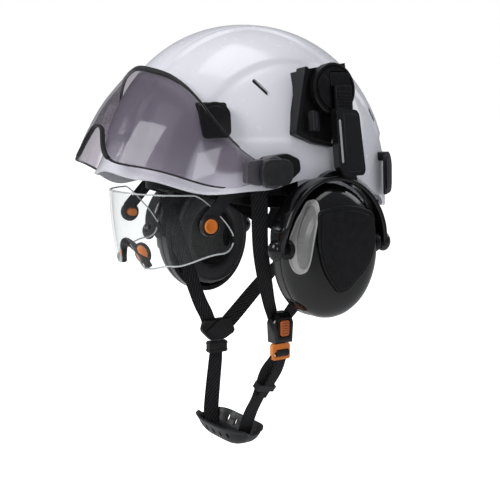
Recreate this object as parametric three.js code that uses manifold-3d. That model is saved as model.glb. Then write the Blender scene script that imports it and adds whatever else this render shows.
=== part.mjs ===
// Arborist helmet with ear defenders, a smoke over-visor and a flip-down clear eye shield.
// Millimetres. +Z is up, the wearer looks along -Y and the wearer's left is +X.
// The origin is on the head's centreline, level with the lowest point of the shell's side rim.

import * as THREE from 'three';
import { ParametricGeometry } from 'three/addons/geometries/ParametricGeometry.js';
import { mergeGeometries, mergeVertices } from 'three/addons/utils/BufferGeometryUtils.js';
import Module from 'manifold-3d';

const wasm = await Module();
wasm.setup();

// ---------------------------------------------------------------- driving dimensions

const GAP = 0.3; // between pieces that touch
const WELD = 1e-4; // vertices closer than this are one vertex

const DOME = { halfWidth: 106, front: 138, rear: 142, height: 143, roundness: 0.96 };
const SHELL = { wall: 3, brimFlare: 7, rearFlare: 3, flareHeight: 24, columns: 48, rows: 10 };
const BAND_RISE = 2; // the centre band stands proud of the shell
const PANEL_DEPTH = 1.5; // the side panels are sunk into it
const CLIP = { out: 10, wall: 3, foot: 9 }; // headlamp clips stand off the shell, held by their upper edge
const LINER = { gap: 1.5, thick: 13, frontEdge: 86, sideEdge: 44, rearEdge: 18, columns: 24, rows: 5 };

const VISOR = { y: -37.3, z: 18.8, halfWidth: 105.9, radius: 126, keel: 2.2, wall: 2.2 };
const VISOR_CURL = { per: 40, linear: -0.228, square: 0.101 }; // its reach falls as it rises, by the share of this angle
const VISOR_EDGE = { top: 50.3, topFall: 25, bottom: 2.2, bottomFall: 21.2, notchHalf: 27, notchRise: 15 };
const HUB = { y: -43.5, z: 18, radius: 12.5, reach: 104, bossFrom: 96, bossTo: 107.6, capTo: 117.5, pin: 4 };

const LENS = { half: 71, centreY: -57, depth: 71, power: 2.4, wall: 2, top: -2, bottom: -66 };
const BUTTON = { y: -83, z: -27, radius: 6.2, pin: 3.5, from: 65, armFrom: 72.6, armTo: 75.2 };
const FOLD = { y: -4, z: 1 }; // the eye shield's arms turn about this axis

const HEADBAND = { halfWidth: 68.4, halfLength: 94, y: -2, wall: 1.6 };
const NAPE = { halfWidth: 64.6, halfLength: 90, y: -2, wall: 1.8 };
const RATCHET = { y: 92, z: -38, width: 58, height: 34, depth: 13, knob: 17, pinion: 7, shaft: 3 };

const MUFF = { x: 106, y: 20, z: 86, tilt: THREE.MathUtils.degToRad(6.5), rightDrop: 6 };
const DISC = { radius: 22, inner: -5, outer: 3 };
const BLADE = { width: 17, thick: 3.4, x: 6.2, y: 5, top: 2, bottom: -64 };
const SLEEVE = { width: 32, thick: 10, y: 9, top: -22.6, bottom: -71, pocket: 1.2 };
const CUP = { x: 94, y: 14, z: -51, halfWidth: 47, halfHeight: 58, depth: 35, wall: 3 };
const CUSHION = { x: 79.5, thick: 13.8, halfWidth: 41, halfHeight: 51, opening: 0.58 };
const YOKE = { x: 106.4, width: 13, y: 14, z: -46, halfWidth: 57.5, halfHeight: 59.5, thick: 4.5, pin: 3.5 };

const WEB = { width: 15, thick: 1.6 };
const DIVIDER = { x: -58, y: 3, z: -149.5, hinge: -134.5 };
const SOCKET = { x: 68, y: -7.3, z: -122, width: 20.5, height: 27, thick: 14 };
const CHIN = { y: -19, halfLength: 42, wall: 2, halfWidth: 19, rise: 19, ends: -223, bottom: -242 };

const rad = THREE.MathUtils.degToRad;
const lerp = THREE.MathUtils.lerp;
const smooth = THREE.MathUtils.smoothstep;
const vec = (x, y, z) => new THREE.Vector3(x, y, z);

const PAINT = {
  white: [0xe9e9f2, 0.25, 0.0],
  foam: [0x1b1b1d, 0.95, 0.0],
  smoke: [0x6f6a76, 0.1, 0.0],
  clear: [0xdfe6e4, 0.08, 0.0],
  rubber: [0x151516, 0.7, 0.0],
  black: [0x17181a, 0.4, 0.0],
  gloss: [0x0e0e10, 0.15, 0.0],
  grey: [0x35363a, 0.5, 0.0],
  orange: [0xee7d12, 0.4, 0.0],
  web: [0x131314, 0.9, 0.0],
  pad: [0x3a3b3e, 0.6, 0.0],
};

// ---------------------------------------------------------------- solids

const group = new THREE.Group();

function addPart(name, solid, paint) {
  const [color, roughness, metalness] = PAINT[paint];
  const mesh = new THREE.Mesh(toGeometry(solid), new THREE.MeshStandardMaterial({ color, roughness, metalness }));
  mesh.name = name;
  group.add(mesh);
}

// Welds a geometry's vertices, drops collapsed triangles, turns its faces outwards, and makes it a solid.
function toSolid(geometry) {
  const bare = geometry.clone();
  bare.deleteAttribute('normal');
  bare.deleteAttribute('uv');
  const welded = mergeVertices(bare, WELD);
  const place = welded.attributes.position;
  const triangles = [];
  let volume = 0;
  for (let i = 0; i < welded.index.count; i += 3) {
    const [a, b, c] = [0, 1, 2].map((k) => welded.index.getX(i + k));
    if (a === b || b === c || c === a) continue;
    const [p, q, r] = [a, b, c].map((k) => vec().fromBufferAttribute(place, k));
    volume += p.dot(q.cross(r));
    triangles.push([a, b, c]);
  }
  const turned = volume < 0 ? triangles.map(([a, b, c]) => [a, c, b]) : triangles;
  return new wasm.Manifold(new wasm.Mesh({
    numProp: 3,
    vertProperties: new Float32Array(place.array),
    triVerts: new Uint32Array(turned.flat()),
  }));
}

function toGeometry(solid) {
  const mesh = solid.getMesh();
  const geometry = new THREE.BufferGeometry();
  geometry.setAttribute('position', new THREE.BufferAttribute(new Float32Array(mesh.vertProperties), 3));
  geometry.setIndex(new THREE.BufferAttribute(new Uint32Array(mesh.triVerts), 1));
  geometry.computeVertexNormals();
  return geometry;
}

// A solid whose points are point(u, v, w), with u, v and w from 0 to 1. A ring closes on itself along u.
function slab(point, uSteps, vSteps, ring = false, wSteps = 1) {
  const at = (u, v, w, target) => target.copy(point(ring && u === 1 ? 0 : u, v, w));
  const faces = [
    [(a, b, t) => at(a, b, 1, t), uSteps, vSteps, false],
    [(a, b, t) => at(a, b, 0, t), uSteps, vSteps, true],
    [(a, b, t) => at(a, 1, b, t), uSteps, wSteps, true],
    [(a, b, t) => at(a, 0, b, t), uSteps, wSteps, false],
  ];
  if (!ring) {
    faces.push([(a, b, t) => at(1, a, b, t), vSteps, wSteps, false]);
    faces.push([(a, b, t) => at(0, a, b, t), vSteps, wSteps, true]);
  }
  return toSolid(mergeGeometries(faces.map(([shape, across, along, turn]) => {
    const face = new ParametricGeometry(shape, across, along);
    if (turn) flip(face);
    return face;
  })));
}

function flip(geometry) {
  const index = geometry.index.array;
  for (let i = 0; i < index.length; i += 3) {
    [index[i + 1], index[i + 2]] = [index[i + 2], index[i + 1]];
  }
}

function box(low, high) {
  const size = vec(...high).sub(vec(...low));
  const centre = vec(...high).add(vec(...low)).multiplyScalar(0.5);
  return toSolid(new THREE.BoxGeometry(size.x, size.y, size.z).translate(centre.x, centre.y, centre.z));
}

// A cylinder along X or Y, from one coordinate on it to another.
function rod(axis, from, to, radius, across = [0, 0], sides = 20) {
  const geometry = new THREE.CylinderGeometry(radius, radius, Math.abs(to - from), sides);
  const middle = (from + to) / 2;
  if (axis === 'x') geometry.rotateZ(Math.PI / 2).translate(middle, across[0], across[1]);
  if (axis === 'y') geometry.translate(across[0], middle, across[1]);
  return toSolid(geometry);
}

// A flat outline in the YZ plane, given as a THREE.Shape of (y, z), made solid from x = from to x = to.
function plateX(shape, from, to, bevel = 0, curveSegments = 8) {
  const geometry = new THREE.ExtrudeGeometry(shape, {
    depth: to - from - 2 * bevel, bevelEnabled: bevel > 0, bevelThickness: bevel,
    bevelSize: bevel, bevelOffset: -bevel, bevelSegments: 1, curveSegments,
  });
  geometry.translate(0, 0, bevel).rotateX(Math.PI / 2).rotateZ(Math.PI / 2);
  return toSolid(geometry.translate(from, 0, 0));
}

function roundRect(y, z, width, height, radius) {
  const shape = new THREE.Shape();
  const [left, right, low, high] = [y - width / 2, y + width / 2, z - height / 2, z + height / 2];
  shape.moveTo(left + radius, low);
  shape.lineTo(right - radius, low).absarc(right - radius, low + radius, radius, -Math.PI / 2, 0);
  shape.lineTo(right, high - radius).absarc(right - radius, high - radius, radius, 0, Math.PI / 2);
  shape.lineTo(left + radius, high).absarc(left + radius, high - radius, radius, Math.PI / 2, Math.PI);
  shape.lineTo(left, low + radius).absarc(left + radius, low + radius, radius, Math.PI, Math.PI * 1.5);
  return shape;
}

function mirrored(solid) {
  return solid.mirror([1, 0, 0]);
}

// Adds a piece made for the left side, and its mirror image on the right, each less what trims it.
function addPair(name, solid, paint, trim = null) {
  for (const [side, whole] of [['left', solid], ['right', mirrored(solid)]]) {
    addPart(`${name}_${side}`, trim ? whole.subtract(trim) : whole, paint);
  }
}

// Flat webbing along a line: each stop is [x, y, z, angle], the angle being its width's turn from +Y towards +X.
function webbing(stops, { width = WEB.width, thick = WEB.thick, steps = 12, from = 0, to = 1 } = {}) {
  const line = new THREE.CatmullRomCurve3(stops.map(([x, y, z]) => vec(x, y, z)), false, 'centripetal');
  return slab((u, v, w) => {
    const share = lerp(from, to, v);
    const place = line.getPoint(share);
    const along = line.getTangent(share);
    const stop = Math.min(Math.floor(share * (stops.length - 1)), stops.length - 2);
    const angle = rad(lerp(stops[stop][3], stops[stop + 1][3], share * (stops.length - 1) - stop));
    const across = vec(Math.sin(angle), Math.cos(angle), 0);
    across.addScaledVector(along, -across.dot(along)).normalize();
    const out = along.cross(across).normalize();
    return place.addScaledVector(across, (u - 0.5) * width).addScaledVector(out, (w - 0.5) * thick);
  }, 1, steps);
}

// ---------------------------------------------------------------- shell and liner

// Height of the shell's rim round the head, with the turn in degrees from the front.
const RIM = [[0, 18], [25, 12], [52, 0], [70, 2.5], [88, 11], [108, 11], [130, -8], [155, -22], [180, -25]];

function tableAt(table, value) {
  const last = table.findIndex(([key]) => key >= value);
  if (last <= 0) return table[0][1];
  const [[from, low], [to, high]] = [table[last - 1], table[last]];
  return lerp(low, high, smooth(value, from, to));
}

const turnFromFront = (u) => 180 - Math.abs(180 - 360 * u);
const rimHeight = (u) => tableAt(RIM, turnFromFront(u));

// A point of the dome, grown outwards by an offset. Up is 0 at the rim's datum level and 90 at the crown.
function domePoint(u, latitude, offset) {
  const spread = Math.cos(latitude) ** DOME.roundness;
  const turn = 2 * Math.PI * u;
  const length = (Math.cos(turn) > 0 ? DOME.front : DOME.rear) + offset;
  return vec(
    (DOME.halfWidth + offset) * spread * Math.sin(turn),
    -length * spread * Math.cos(turn),
    (DOME.height + offset) * Math.sin(latitude),
  );
}

// How far the shell's outer face stands in front of the plain dome: the centre band up, the side panels down.
function relief(place) {
  const bandHalf = lerp(24, 66, smooth(place.y, -20, 70));
  const band = 1 - smooth(Math.abs(place.x), bandHalf - 4, bandHalf + 4);
  const high = smooth(place.z, 40, 50);
  const panel = smooth(Math.abs(place.x), 66, 72) * high * smooth(place.y, -92, -78) * (1 - smooth(place.y, 60, 76));
  return BAND_RISE * band * high - PANEL_DEPTH * panel;
}

function shellPoint(u, v, offset, raised) {
  const rim = rimHeight(u);
  const latitude = v === 1 ? Math.PI / 2 : lerp(Math.asin(rim / DOME.height), Math.PI / 2, v);
  const place = domePoint(u, latitude, offset);
  if (raised) place.addScaledVector(place.clone().normalize(), relief(domePoint(u, latitude, 0)));
  const forward = Math.cos(2 * Math.PI * u);
  const flare = forward > 0 ? SHELL.brimFlare * forward ** 2 : SHELL.rearFlare * forward ** 2;
  const low = Math.max(0, 1 - (place.z - rim) / SHELL.flareHeight) ** 2;
  const level = Math.hypot(place.x, place.y) || 1;
  place.x += (place.x / level) * flare * low;
  place.y += (place.y / level) * flare * low;
  return place;
}

// Everything inside the shell's outer face, grown by an offset, to trim what is clipped onto it.
const BLOCK_FOOT = vec(0, 0, -32);
const shellBlock = (offset) => slab((u, v, w) => (
  w ? shellPoint(u, v, offset, true) : BLOCK_FOOT.clone()
), SHELL.columns, SHELL.rows, true);
const onShell = shellBlock(GAP);

function ventSlot(y, z, lean, length) {
  const slot = plateX(roundRect(0, 0, 4, length, 1.9), 40, DOME.halfWidth + 10, 0, 3);
  return slot.rotate([lean, 0, 0]).translate([0, y, z]);
}

function makeShell() {
  const dome = slab((u, v, w) => shellPoint(u, v, w ? 0 : -SHELL.wall, w > 0), SHELL.columns, SHELL.rows, true);
  const slots = [ventSlot(-35, 87, 38, 16), ventSlot(96, 64, 30, 14)];
  return slots.reduce((shell, slot) => shell.subtract(slot).subtract(mirrored(slot)), dome);
}

const linerEdge = (u) => {
  const turn = turnFromFront(u);
  return lerp(lerp(LINER.frontEdge, LINER.sideEdge, smooth(turn, 58, 84)), LINER.rearEdge, smooth(turn, 90, 180));
};

function makeLiner() {
  const outer = -SHELL.wall - LINER.gap;
  return slab((u, v, w) => {
    const latitude = lerp(Math.asin(linerEdge(u) / DOME.height), Math.PI / 2, v);
    return domePoint(u, v === 1 ? Math.PI / 2 : latitude, w ? outer : outer - LINER.thick);
  }, LINER.columns, LINER.rows, true);
}

// Black hooks that hold a headlamp's strap. Each stands off the shell on its upper edge.
function addLampClips() {
  const front = { y: -81, z: 60.5, width: 21, height: 31 };
  const rear = { y: 101, z: 12, width: 22, height: 40 };
  const grown = shellBlock(CLIP.out);
  const footed = shellBlock(CLIP.out - CLIP.wall);
  for (const [name, clip] of [['lamp_clip_front', front], ['lamp_clip_rear', rear]]) {
    const body = plateX(roundRect(clip.y, clip.z, clip.width, clip.height, 6), 35, DOME.halfWidth, 0, 3);
    const gap = box([35, clip.y - clip.width, clip.z - clip.height / 2 - 1],
      [DOME.halfWidth, clip.y + clip.width, clip.z + clip.height / 2 - CLIP.foot]);
    addPair(name, body.intersect(grown).subtract(gap.intersect(footed)), 'black', onShell);
  }
}

// ---------------------------------------------------------------- smoke over-visor

function visorReach(x, angle) {
  const share = angle / rad(VISOR_CURL.per);
  const curl = 1 + VISOR_CURL.linear * share + VISOR_CURL.square * share ** 2;
  return VISOR.radius * curl * Math.sqrt(Math.max(0, 1 - (x / VISOR.halfWidth) ** 2));
}

function visorPoint(x, angle, offset) {
  const keel = VISOR.keel * Math.exp(-((x / 16) ** 2));
  const reach = visorReach(x, angle) + keel + offset;
  return vec(x, VISOR.y - reach * Math.cos(angle), VISOR.z + reach * Math.sin(angle));
}

const visorTop = (x) => VISOR_EDGE.top - VISOR_EDGE.topFall * (Math.abs(x) / 105) ** 5;
const visorBottom = (x) => {
  const edge = VISOR_EDGE.bottom - VISOR_EDGE.bottomFall * (Math.abs(x) / 102) ** 7;
  const notch = Math.max(0, 1 - Math.abs(x) / VISOR_EDGE.notchHalf) ** 0.85;
  return edge + VISOR_EDGE.notchRise * notch;
};

// Closely spaced across the nose notch and near the hubs, wider between them.
const visorAcross = (u) => HUB.reach * Math.sin((u - 0.5) * Math.PI);

function makeVisorLens() {
  const sheet = slab((u, v, w) => {
    const x = visorAcross(u);
    return visorPoint(x, rad(lerp(visorBottom(x), visorTop(x), v)), w ? 0 : -VISOR.wall);
  }, 30, 5);
  const at = [HUB.y, HUB.z];
  const disc = rod('x', HUB.bossTo + GAP, HUB.bossTo + GAP + 3, HUB.radius, at, 24);
  const web = plateX(roundRect(HUB.y - 13.5, HUB.z + 1, 26, 20, 3), 101.5, HUB.bossTo + GAP + 3, 0, 2);
  const hole = rod('x', 60, 140, HUB.pin + GAP, at, 16);
  const hub = disc.add(web.subtract(rod('x', 90, HUB.bossTo + GAP, 19, at, 24)));
  return sheet.add(hub).add(mirrored(hub)).subtract(hole).subtract(mirrored(hole));
}

function makeVisorSeal() {
  const half = 92;
  return slab((u, v, w) => {
    const x = half * Math.sin((v - 0.5) * Math.PI);
    const tall = lerp(7, 2.5, smooth(Math.abs(x), 20, 88));
    const start = rad(visorTop(x)) + (GAP + 0.25) / 100;
    return visorPoint(x, start + (u * tall) / 125, lerp(-2.6, 0.6, w));
  }, 1, 24);
}

function addVisorHubs() {
  const at = [HUB.y, HUB.z];
  const hexagon = new THREE.Shape();
  const corners = [[-58, 18], [-48, 30], [-30, 32], [-22, 26], [-22, 15], [-29, 9], [-48, 6]];
  corners.forEach(([y, z], i) => (i ? hexagon.lineTo(y, z) : hexagon.moveTo(y, z)));
  const pin = rod('x', HUB.bossTo - 1, HUB.capTo - 4.6, HUB.pin, at, 16);
  addPair('visor_boss', plateX(hexagon, HUB.bossFrom, HUB.bossTo, 0).add(pin), 'black', onShell);
  const cap = plateX(roundRect(HUB.y, HUB.z, 31, 22, 10.8), HUB.bossTo + 3.6 + GAP, HUB.capTo, 1.2, 4);
  addPair('visor_cap', cap.subtract(rod('x', 100, HUB.capTo - 4.2, HUB.pin + GAP, at, 16)), 'grey');
}

// ---------------------------------------------------------------- clear eye shield

function lensPoint(turn, z, offset) {
  const sine = Math.sin(turn);
  const cosine = Math.max(0, Math.cos(turn));
  const below = LENS.top - z;
  const depth = LENS.depth + offset - 0.0018 * below ** 2;
  const half = LENS.half + offset - 0.0004 * below ** 2;
  const x = half * Math.sign(sine) * Math.abs(sine) ** (2 / LENS.power);
  return vec(x, LENS.centreY - depth * cosine ** (2 / LENS.power), z);
}

const lensTop = (degrees) => LENS.top - 20 * smooth(Math.abs(degrees), 50, 90);
const lensBottom = (degrees) => {
  const away = Math.abs(degrees);
  const notch = 19 * (1 - smooth(away, 3, 13));
  return LENS.bottom + notch + 30 * smooth(away, 42, 90);
};

function makeLens() {
  const most = 90;
  const sheet = slab((u, v, w) => {
    const degrees = most * Math.sign(u - 0.5) * Math.abs(2 * u - 1) ** 1.2;
    const z = lerp(lensBottom(degrees), lensTop(degrees), v);
    return lensPoint(rad(degrees), z, w ? 0 : -LENS.wall);
  }, 26, 4);
  const hole = rod('x', 50, 90, BUTTON.pin + GAP, [BUTTON.y, BUTTON.z], 14);
  return sheet.subtract(hole).subtract(mirrored(hole));
}

function makeEyeArm() {
  const arm = new THREE.Shape();
  arm.moveTo(-89, -19).lineTo(-66, 5).lineTo(-44, 9).lineTo(FOLD.y, FOLD.z + 6.5);
  arm.absarc(FOLD.y, FOLD.z, 6.5, Math.PI / 2, -Math.PI / 2, true);
  arm.lineTo(-42, -3).lineTo(-60, -5).lineTo(-76, -22);
  arm.absarc(BUTTON.y, BUTTON.z, 9, rad(30), rad(-230), true);
  const hole = rod('x', 60, 90, BUTTON.pin + GAP, [BUTTON.y, BUTTON.z], 14);
  const pivot = rod('x', 60, 90, 3 + GAP, [FOLD.y, FOLD.z], 12);
  return plateX(arm, BUTTON.armFrom, BUTTON.armTo, 0, 6).subtract(hole).subtract(pivot);
}

function addEyeShield() {
  addPart('spectacle_lens', makeLens(), 'clear');
  addPair('spectacle_arm', makeEyeArm(), 'grey');
  const at = [BUTTON.y, BUTTON.z];
  const pin = rod('x', BUTTON.from, BUTTON.armTo + 1, BUTTON.pin, at, 14);
  const head = rod('x', BUTTON.armTo + GAP, BUTTON.armTo + 2.4, BUTTON.radius, at, 18);
  addPair('spectacle_button', pin.add(head), 'orange');
  const post = rod('x', 71.4, 80, 3, [FOLD.y, FOLD.z], 12);
  const tab = plateX(roundRect(FOLD.y, 14.5, 14, 41, 6), 76, 79.2, 0, 3);
  const foot = box([78, FOLD.y - 6, 21], [112, FOLD.y + 6, 35]);
  addPair('spectacle_bracket', tab.add(foot).add(post), 'black', aroundShell());
}

// The shell's wall and the room outside it, to trim what is fixed on its inside.
function aroundShell() {
  const clear = -SHELL.wall - GAP;
  return slab((u, v, w) => shellPoint(u, v, w ? 14 : clear, w > 0), SHELL.columns, SHELL.rows, true);
}

function makeNosePiece() {
  const line = new THREE.CatmullRomCurve3([
    vec(-18, -108.5, -69), vec(-12, -114, -59), vec(0, -117.4, -50), vec(12, -114, -59), vec(18, -108.5, -69),
  ]);
  const half = 3;
  const section = new THREE.Shape();
  section.moveTo(-half, -half).lineTo(half, -half).lineTo(half, half).lineTo(-half, half);
  return toSolid(new THREE.ExtrudeGeometry(section, { steps: 14, extrudePath: line, bevelEnabled: false }));
}

function nosePad(side) {
  const pad = toSolid(new THREE.SphereGeometry(1, 12, 7).scale(2.6, 5, 7.5));
  return pad.rotate([-30, side * -26, 0]).translate([side * 21.4, -106.5, -61]);
}

// ---------------------------------------------------------------- headband and nape fit

// A band round the head. Its middle height falls from the brow to the nape.
function headBand(band, from, to, columns, middle, halfHeight) {
  return slab((u, v, w) => {
    const degrees = lerp(from, to, u);
    const turn = rad(degrees);
    const away = Math.abs(degrees > 180 ? 360 - degrees : degrees);
    const out = w ? band.wall : 0;
    return vec(
      (band.halfWidth + out) * Math.sin(turn),
      band.y - (band.halfLength + out) * Math.cos(turn),
      middle(away) + (v - 0.5) * 2 * halfHeight(away),
    );
  }, columns, 1);
}

const bandMiddle = (away) => 12 - 19 * smooth(away, 10, 90) - 31 * smooth(away, 85, 150);

function makeHeadband() {
  return headBand(HEADBAND, -118, 118, 30, bandMiddle, (away) => lerp(12, 9, smooth(away, 20, 80)));
}

function makeNapeBand() {
  const band = headBand(NAPE, 100, 260, 28, bandMiddle, (away) => lerp(10, 17, smooth(away, 95, 125)));
  const holes = [128, 146, 214, 232].map((degrees) => {
    const turn = rad(degrees);
    const hole = toSolid(new THREE.CylinderGeometry(7, 7, 40, 12).rotateZ(Math.PI / 2));
    const away = Math.abs(180 - degrees);
    return hole.scale([1, 1.1, 1]).rotate([0, 0, degrees - 90]).translate([
      NAPE.halfWidth * Math.sin(turn), NAPE.y - NAPE.halfLength * Math.cos(turn), bandMiddle(180 - away),
    ]);
  });
  return holes.reduce((left, hole) => left.subtract(hole), band);
}

function makeBrowPad() {
  const pad = { halfWidth: HEADBAND.halfWidth - 6.5, halfLength: HEADBAND.halfLength - 6.5, y: HEADBAND.y, wall: 6 };
  return headBand(pad, -62, 62, 16, bandMiddle, () => 11);
}

function makeNapePad() {
  const pad = { halfWidth: NAPE.halfWidth - 6.5, halfLength: NAPE.halfLength - 6.5, y: NAPE.y, wall: 6 };
  return headBand(pad, 152, 208, 8, bandMiddle, () => 13);
}

function makePinion() {
  const teeth = 10;
  const wheel = new THREE.Shape();
  for (let i = 0; i < teeth * 4; i += 1) {
    const turn = (2 * Math.PI * i) / (teeth * 4);
    const reach = i % 4 < 2 ? RATCHET.pinion : RATCHET.pinion - 1.6;
    const spot = [reach * Math.cos(turn), reach * Math.sin(turn)];
    if (i) wheel.lineTo(...spot);
    else wheel.moveTo(...spot);
  }
  const depth = 5;
  const gear = toSolid(new THREE.ExtrudeGeometry(wheel, { depth, bevelEnabled: false, curveSegments: 2 }));
  const shaft = toSolid(new THREE.CylinderGeometry(RATCHET.shaft, RATCHET.shaft, 11, 12).rotateX(Math.PI / 2));
  const turned = gear.add(shaft.translate([0, 0, depth + 5])).rotate([-90, 0, 0]);
  return turned.translate([0, RATCHET.y + 1.2, RATCHET.z]);
}

function addNapeFit() {
  const { y, z, width, height, depth } = RATCHET;
  const outline = roundRect(0, z, width, height, 9);
  const block = plateX(outline, y, y + depth, 1.5, 4).rotate([0, 0, 90]);
  const pocket = rod('y', y - 5, y + 7.4, RATCHET.pinion + 1.2, [0, z], 20);
  const bore = rod('y', y, y + depth + 5, RATCHET.shaft + GAP, [0, z], 16);
  addPart('ratchet_housing', block.subtract(pocket).subtract(bore), 'black');
  addPart('ratchet_pinion', makePinion(), 'black');
  const knob = rod('y', y + depth + GAP, y + depth + 11, RATCHET.knob, [0, z], 24);
  const socket = rod('y', y + depth - 5, y + depth + 4.5, RATCHET.shaft + GAP, [0, z], 16);
  addPart('ratchet_knob', knob.subtract(socket), 'grey');
}

// ---------------------------------------------------------------- ear defenders

// Puts a solid made in the arm's own frame where the arm is: x outwards, z up along the arm.
function onArm(solid, drop = 0) {
  const tilted = solid.translate([0, 0, -drop]).rotate([0, -THREE.MathUtils.radToDeg(MUFF.tilt), 0]);
  return tilted.translate([MUFF.x, MUFF.y, MUFF.z]);
}

function makeAdaptor() {
  const outline = new THREE.Shape();
  const corners = [[-23, 17], [18, 23], [20, -8], [2, -36], [-2, -46], [-22, -42], [-36, -35]];
  corners.forEach(([y, z], i) => (i ? outline.lineTo(y, z) : outline.moveTo(y, z)));
  const frame = plateX(outline, -45, DISC.inner - GAP);
  const latch = plateX(roundRect(-21, -27, 11, 17, 2), DISC.inner - 3, DISC.inner + 3, 0, 2);
  return onArm(frame.add(latch));
}

function makeDisc() {
  const disc = rod('x', DISC.inner, DISC.outer, DISC.radius, [0, 0], 28);
  const half = BLADE.width / 2 + 2;
  const slot = box([DISC.outer - 3, BLADE.y - half, -DISC.radius - 2], [DISC.outer + 1, BLADE.y + half, 4]);
  return onArm(disc.subtract(slot));
}

function makeBlade() {
  const half = BLADE.thick / 2;
  const shape = roundRect(BLADE.y, (BLADE.top + BLADE.bottom) / 2, BLADE.width, BLADE.top - BLADE.bottom, 2);
  return onArm(plateX(shape, BLADE.x - half, BLADE.x + half, 0, 2));
}

function makeSleeve(drop) {
  const { width, thick, y, top, bottom, pocket } = SLEEVE;
  const outline = roundRect(y, (top + bottom) / 2, width, top - bottom, 4);
  const outer = plateX(outline, BLADE.x - thick / 2, BLADE.x + thick / 2, 1, 3);
  const half = BLADE.thick / 2 + 0.6;
  const way = box([BLADE.x - half, BLADE.y - BLADE.width / 2 - pocket, bottom - 5],
    [BLADE.x + half, BLADE.y + BLADE.width / 2 + pocket, top + 5]);
  return onArm(outer.subtract(way), drop);
}

// An oval ring or dish about the cup's axis, from a profile of [share of its half size, x].
function oval(profile, halfWidth, halfHeight, z, sides = 24) {
  const points = profile.map(([share, x]) => new THREE.Vector2(share, x));
  const turned = new THREE.LatheGeometry(points, sides);
  const place = turned.attributes.position;
  for (let i = 0; i < place.count; i += 1) {
    place.setXYZ(i, place.getY(i), CUP.y + place.getX(i) * halfWidth, z + place.getZ(i) * halfHeight);
  }
  return toSolid(turned);
}

function makeCup(z) {
  const { x, depth, halfWidth, halfHeight } = CUP;
  const inner = 1 - CUP.wall / halfWidth;
  const dish = oval([
    [0, x + depth - 3], [inner * 0.72, x + depth - 4], [inner * 0.92, x + depth - 11], [inner, x + 14], [inner, x],
    [1, x], [1, x + 14], [0.95, x + depth - 9], [0.78, x + depth - 1.5], [0, x + depth],
  ], halfWidth, halfHeight, z);
  const along = [YOKE.x + YOKE.width / 2, YOKE.z + z - CUP.z];
  const pins = rod('y', CUP.y - 80, CUP.y + 80, YOKE.pin + GAP + 0.2, along, 14);
  return dish.subtract(pins);
}

function makeCushion(z) {
  const { x, thick, opening } = CUSHION;
  return oval([
    [opening, x + 2.5], [opening + 0.08, x], [0.9, x], [1, x + 3.5], [1, x + thick], [opening, x + thick],
    [opening, x + 2.5],
  ], CUSHION.halfWidth, CUSHION.halfHeight, z, 24);
}

function makeAbsorber(z) {
  const profile = [[0, CUP.x + 8], [0.82, CUP.x + 8], [0.78, CUP.x + 20], [0, CUP.x + 20]];
  return oval(profile, CUP.halfWidth - 6, CUP.halfHeight - 6, z, 16);
}

// The shield-shaped plate on the cup: a square shoulder above and a point below.
function makeCupPlate(z) {
  const shield = new THREE.Shape();
  shield.moveTo(-26, 37).quadraticCurveTo(0, 44.5, 32, 34).lineTo(35, 5);
  shield.quadraticCurveTo(30, -18, 4, -33).quadraticCurveTo(-2, -36, -7, -31);
  shield.quadraticCurveTo(-26, -12, -27.5, 14);
  const from = CUP.x + CUP.depth + GAP;
  return plateX(shield, from, from + 2.4, 0.8, 4).translate([0, CUP.y, z]);
}

function makeYoke(drop) {
  const { x, width, y, halfWidth, halfHeight, thick, pin } = YOKE;
  const z = YOKE.z - drop;
  const arc = slab((u, v, w) => {
    const turn = rad(lerp(-3, 183, v));
    const shrink = w ? 0 : thick;
    return vec(x + u * width, y + (halfWidth - shrink) * Math.cos(turn), z + (halfHeight - shrink) * Math.sin(turn));
  }, 1, 28);
  const end = halfWidth - thick / 2;
  const stub = CUP.halfWidth - CUP.wall + 0.6;
  const middle = x + width / 2;
  const pins = [rod('y', y - end, y - stub, pin, [middle, z], 12), rod('y', y + stub, y + end, pin, [middle, z], 12)];
  return arc.add(pins[0]).add(pins[1]);
}

function addEarDefenders() {
  addPair('muff_adaptor', makeAdaptor(), 'black', onShell);
  addPair('muff_disc', makeDisc(), 'black');
  addPair('muff_blade', makeBlade(), 'black');
  for (const [side, drop] of [['left', 0], ['right', MUFF.rightDrop]]) {
    const z = CUP.z - drop;
    const pieces = {
      muff_sleeve: [makeSleeve(drop), 'gloss'],
      muff_yoke: [makeYoke(drop), 'gloss'],
      ear_cup: [makeCup(z), 'gloss'],
      cup_plate: [makeCupPlate(z), 'black'],
      ear_cushion: [makeCushion(z), 'pad'],
      sound_absorber: [makeAbsorber(z), 'foam'],
    };
    for (const [name, [solid, paint]] of Object.entries(pieces)) {
      addPart(`${name}_${side}`, side === 'left' ? solid : mirrored(solid), paint);
    }
  }
}

// ---------------------------------------------------------------- harness

function addUpperStraps() {
  addPart('front_strap_left', webbing([
    [88, -44, 12, 20], [87, -42, -10, 14], [83, -38, -50, 4], [70, -22, -92, -14], [64, -13, -107.8, -24],
  ]), 'web');
  addPart('front_strap_right', webbing([
    [-88, -43, 12, -20], [-86, -39, -12, -14], [-75, -32, -52, 0], [-63.5, -15, -112, 6], [-60, -5, -132, 6],
  ]), 'web');
  addPart('rear_strap_left', webbing([
    [46, 113, -16, 60], [50, 106, -40, 55], [58, 80, -72, 40], [68, 40, -86, 15], [70, 6, -101, -10],
  ], { steps: 14 }), 'web');
  addPart('rear_strap_right', webbing([
    [-46, 113, -16, -60], [-49, 107, -45, -55], [-54, 88, -76, -40], [-56, 56, -104, -20], [-57, 24, -126.5, 0],
  ], { steps: 14 }), 'web');
}

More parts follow.
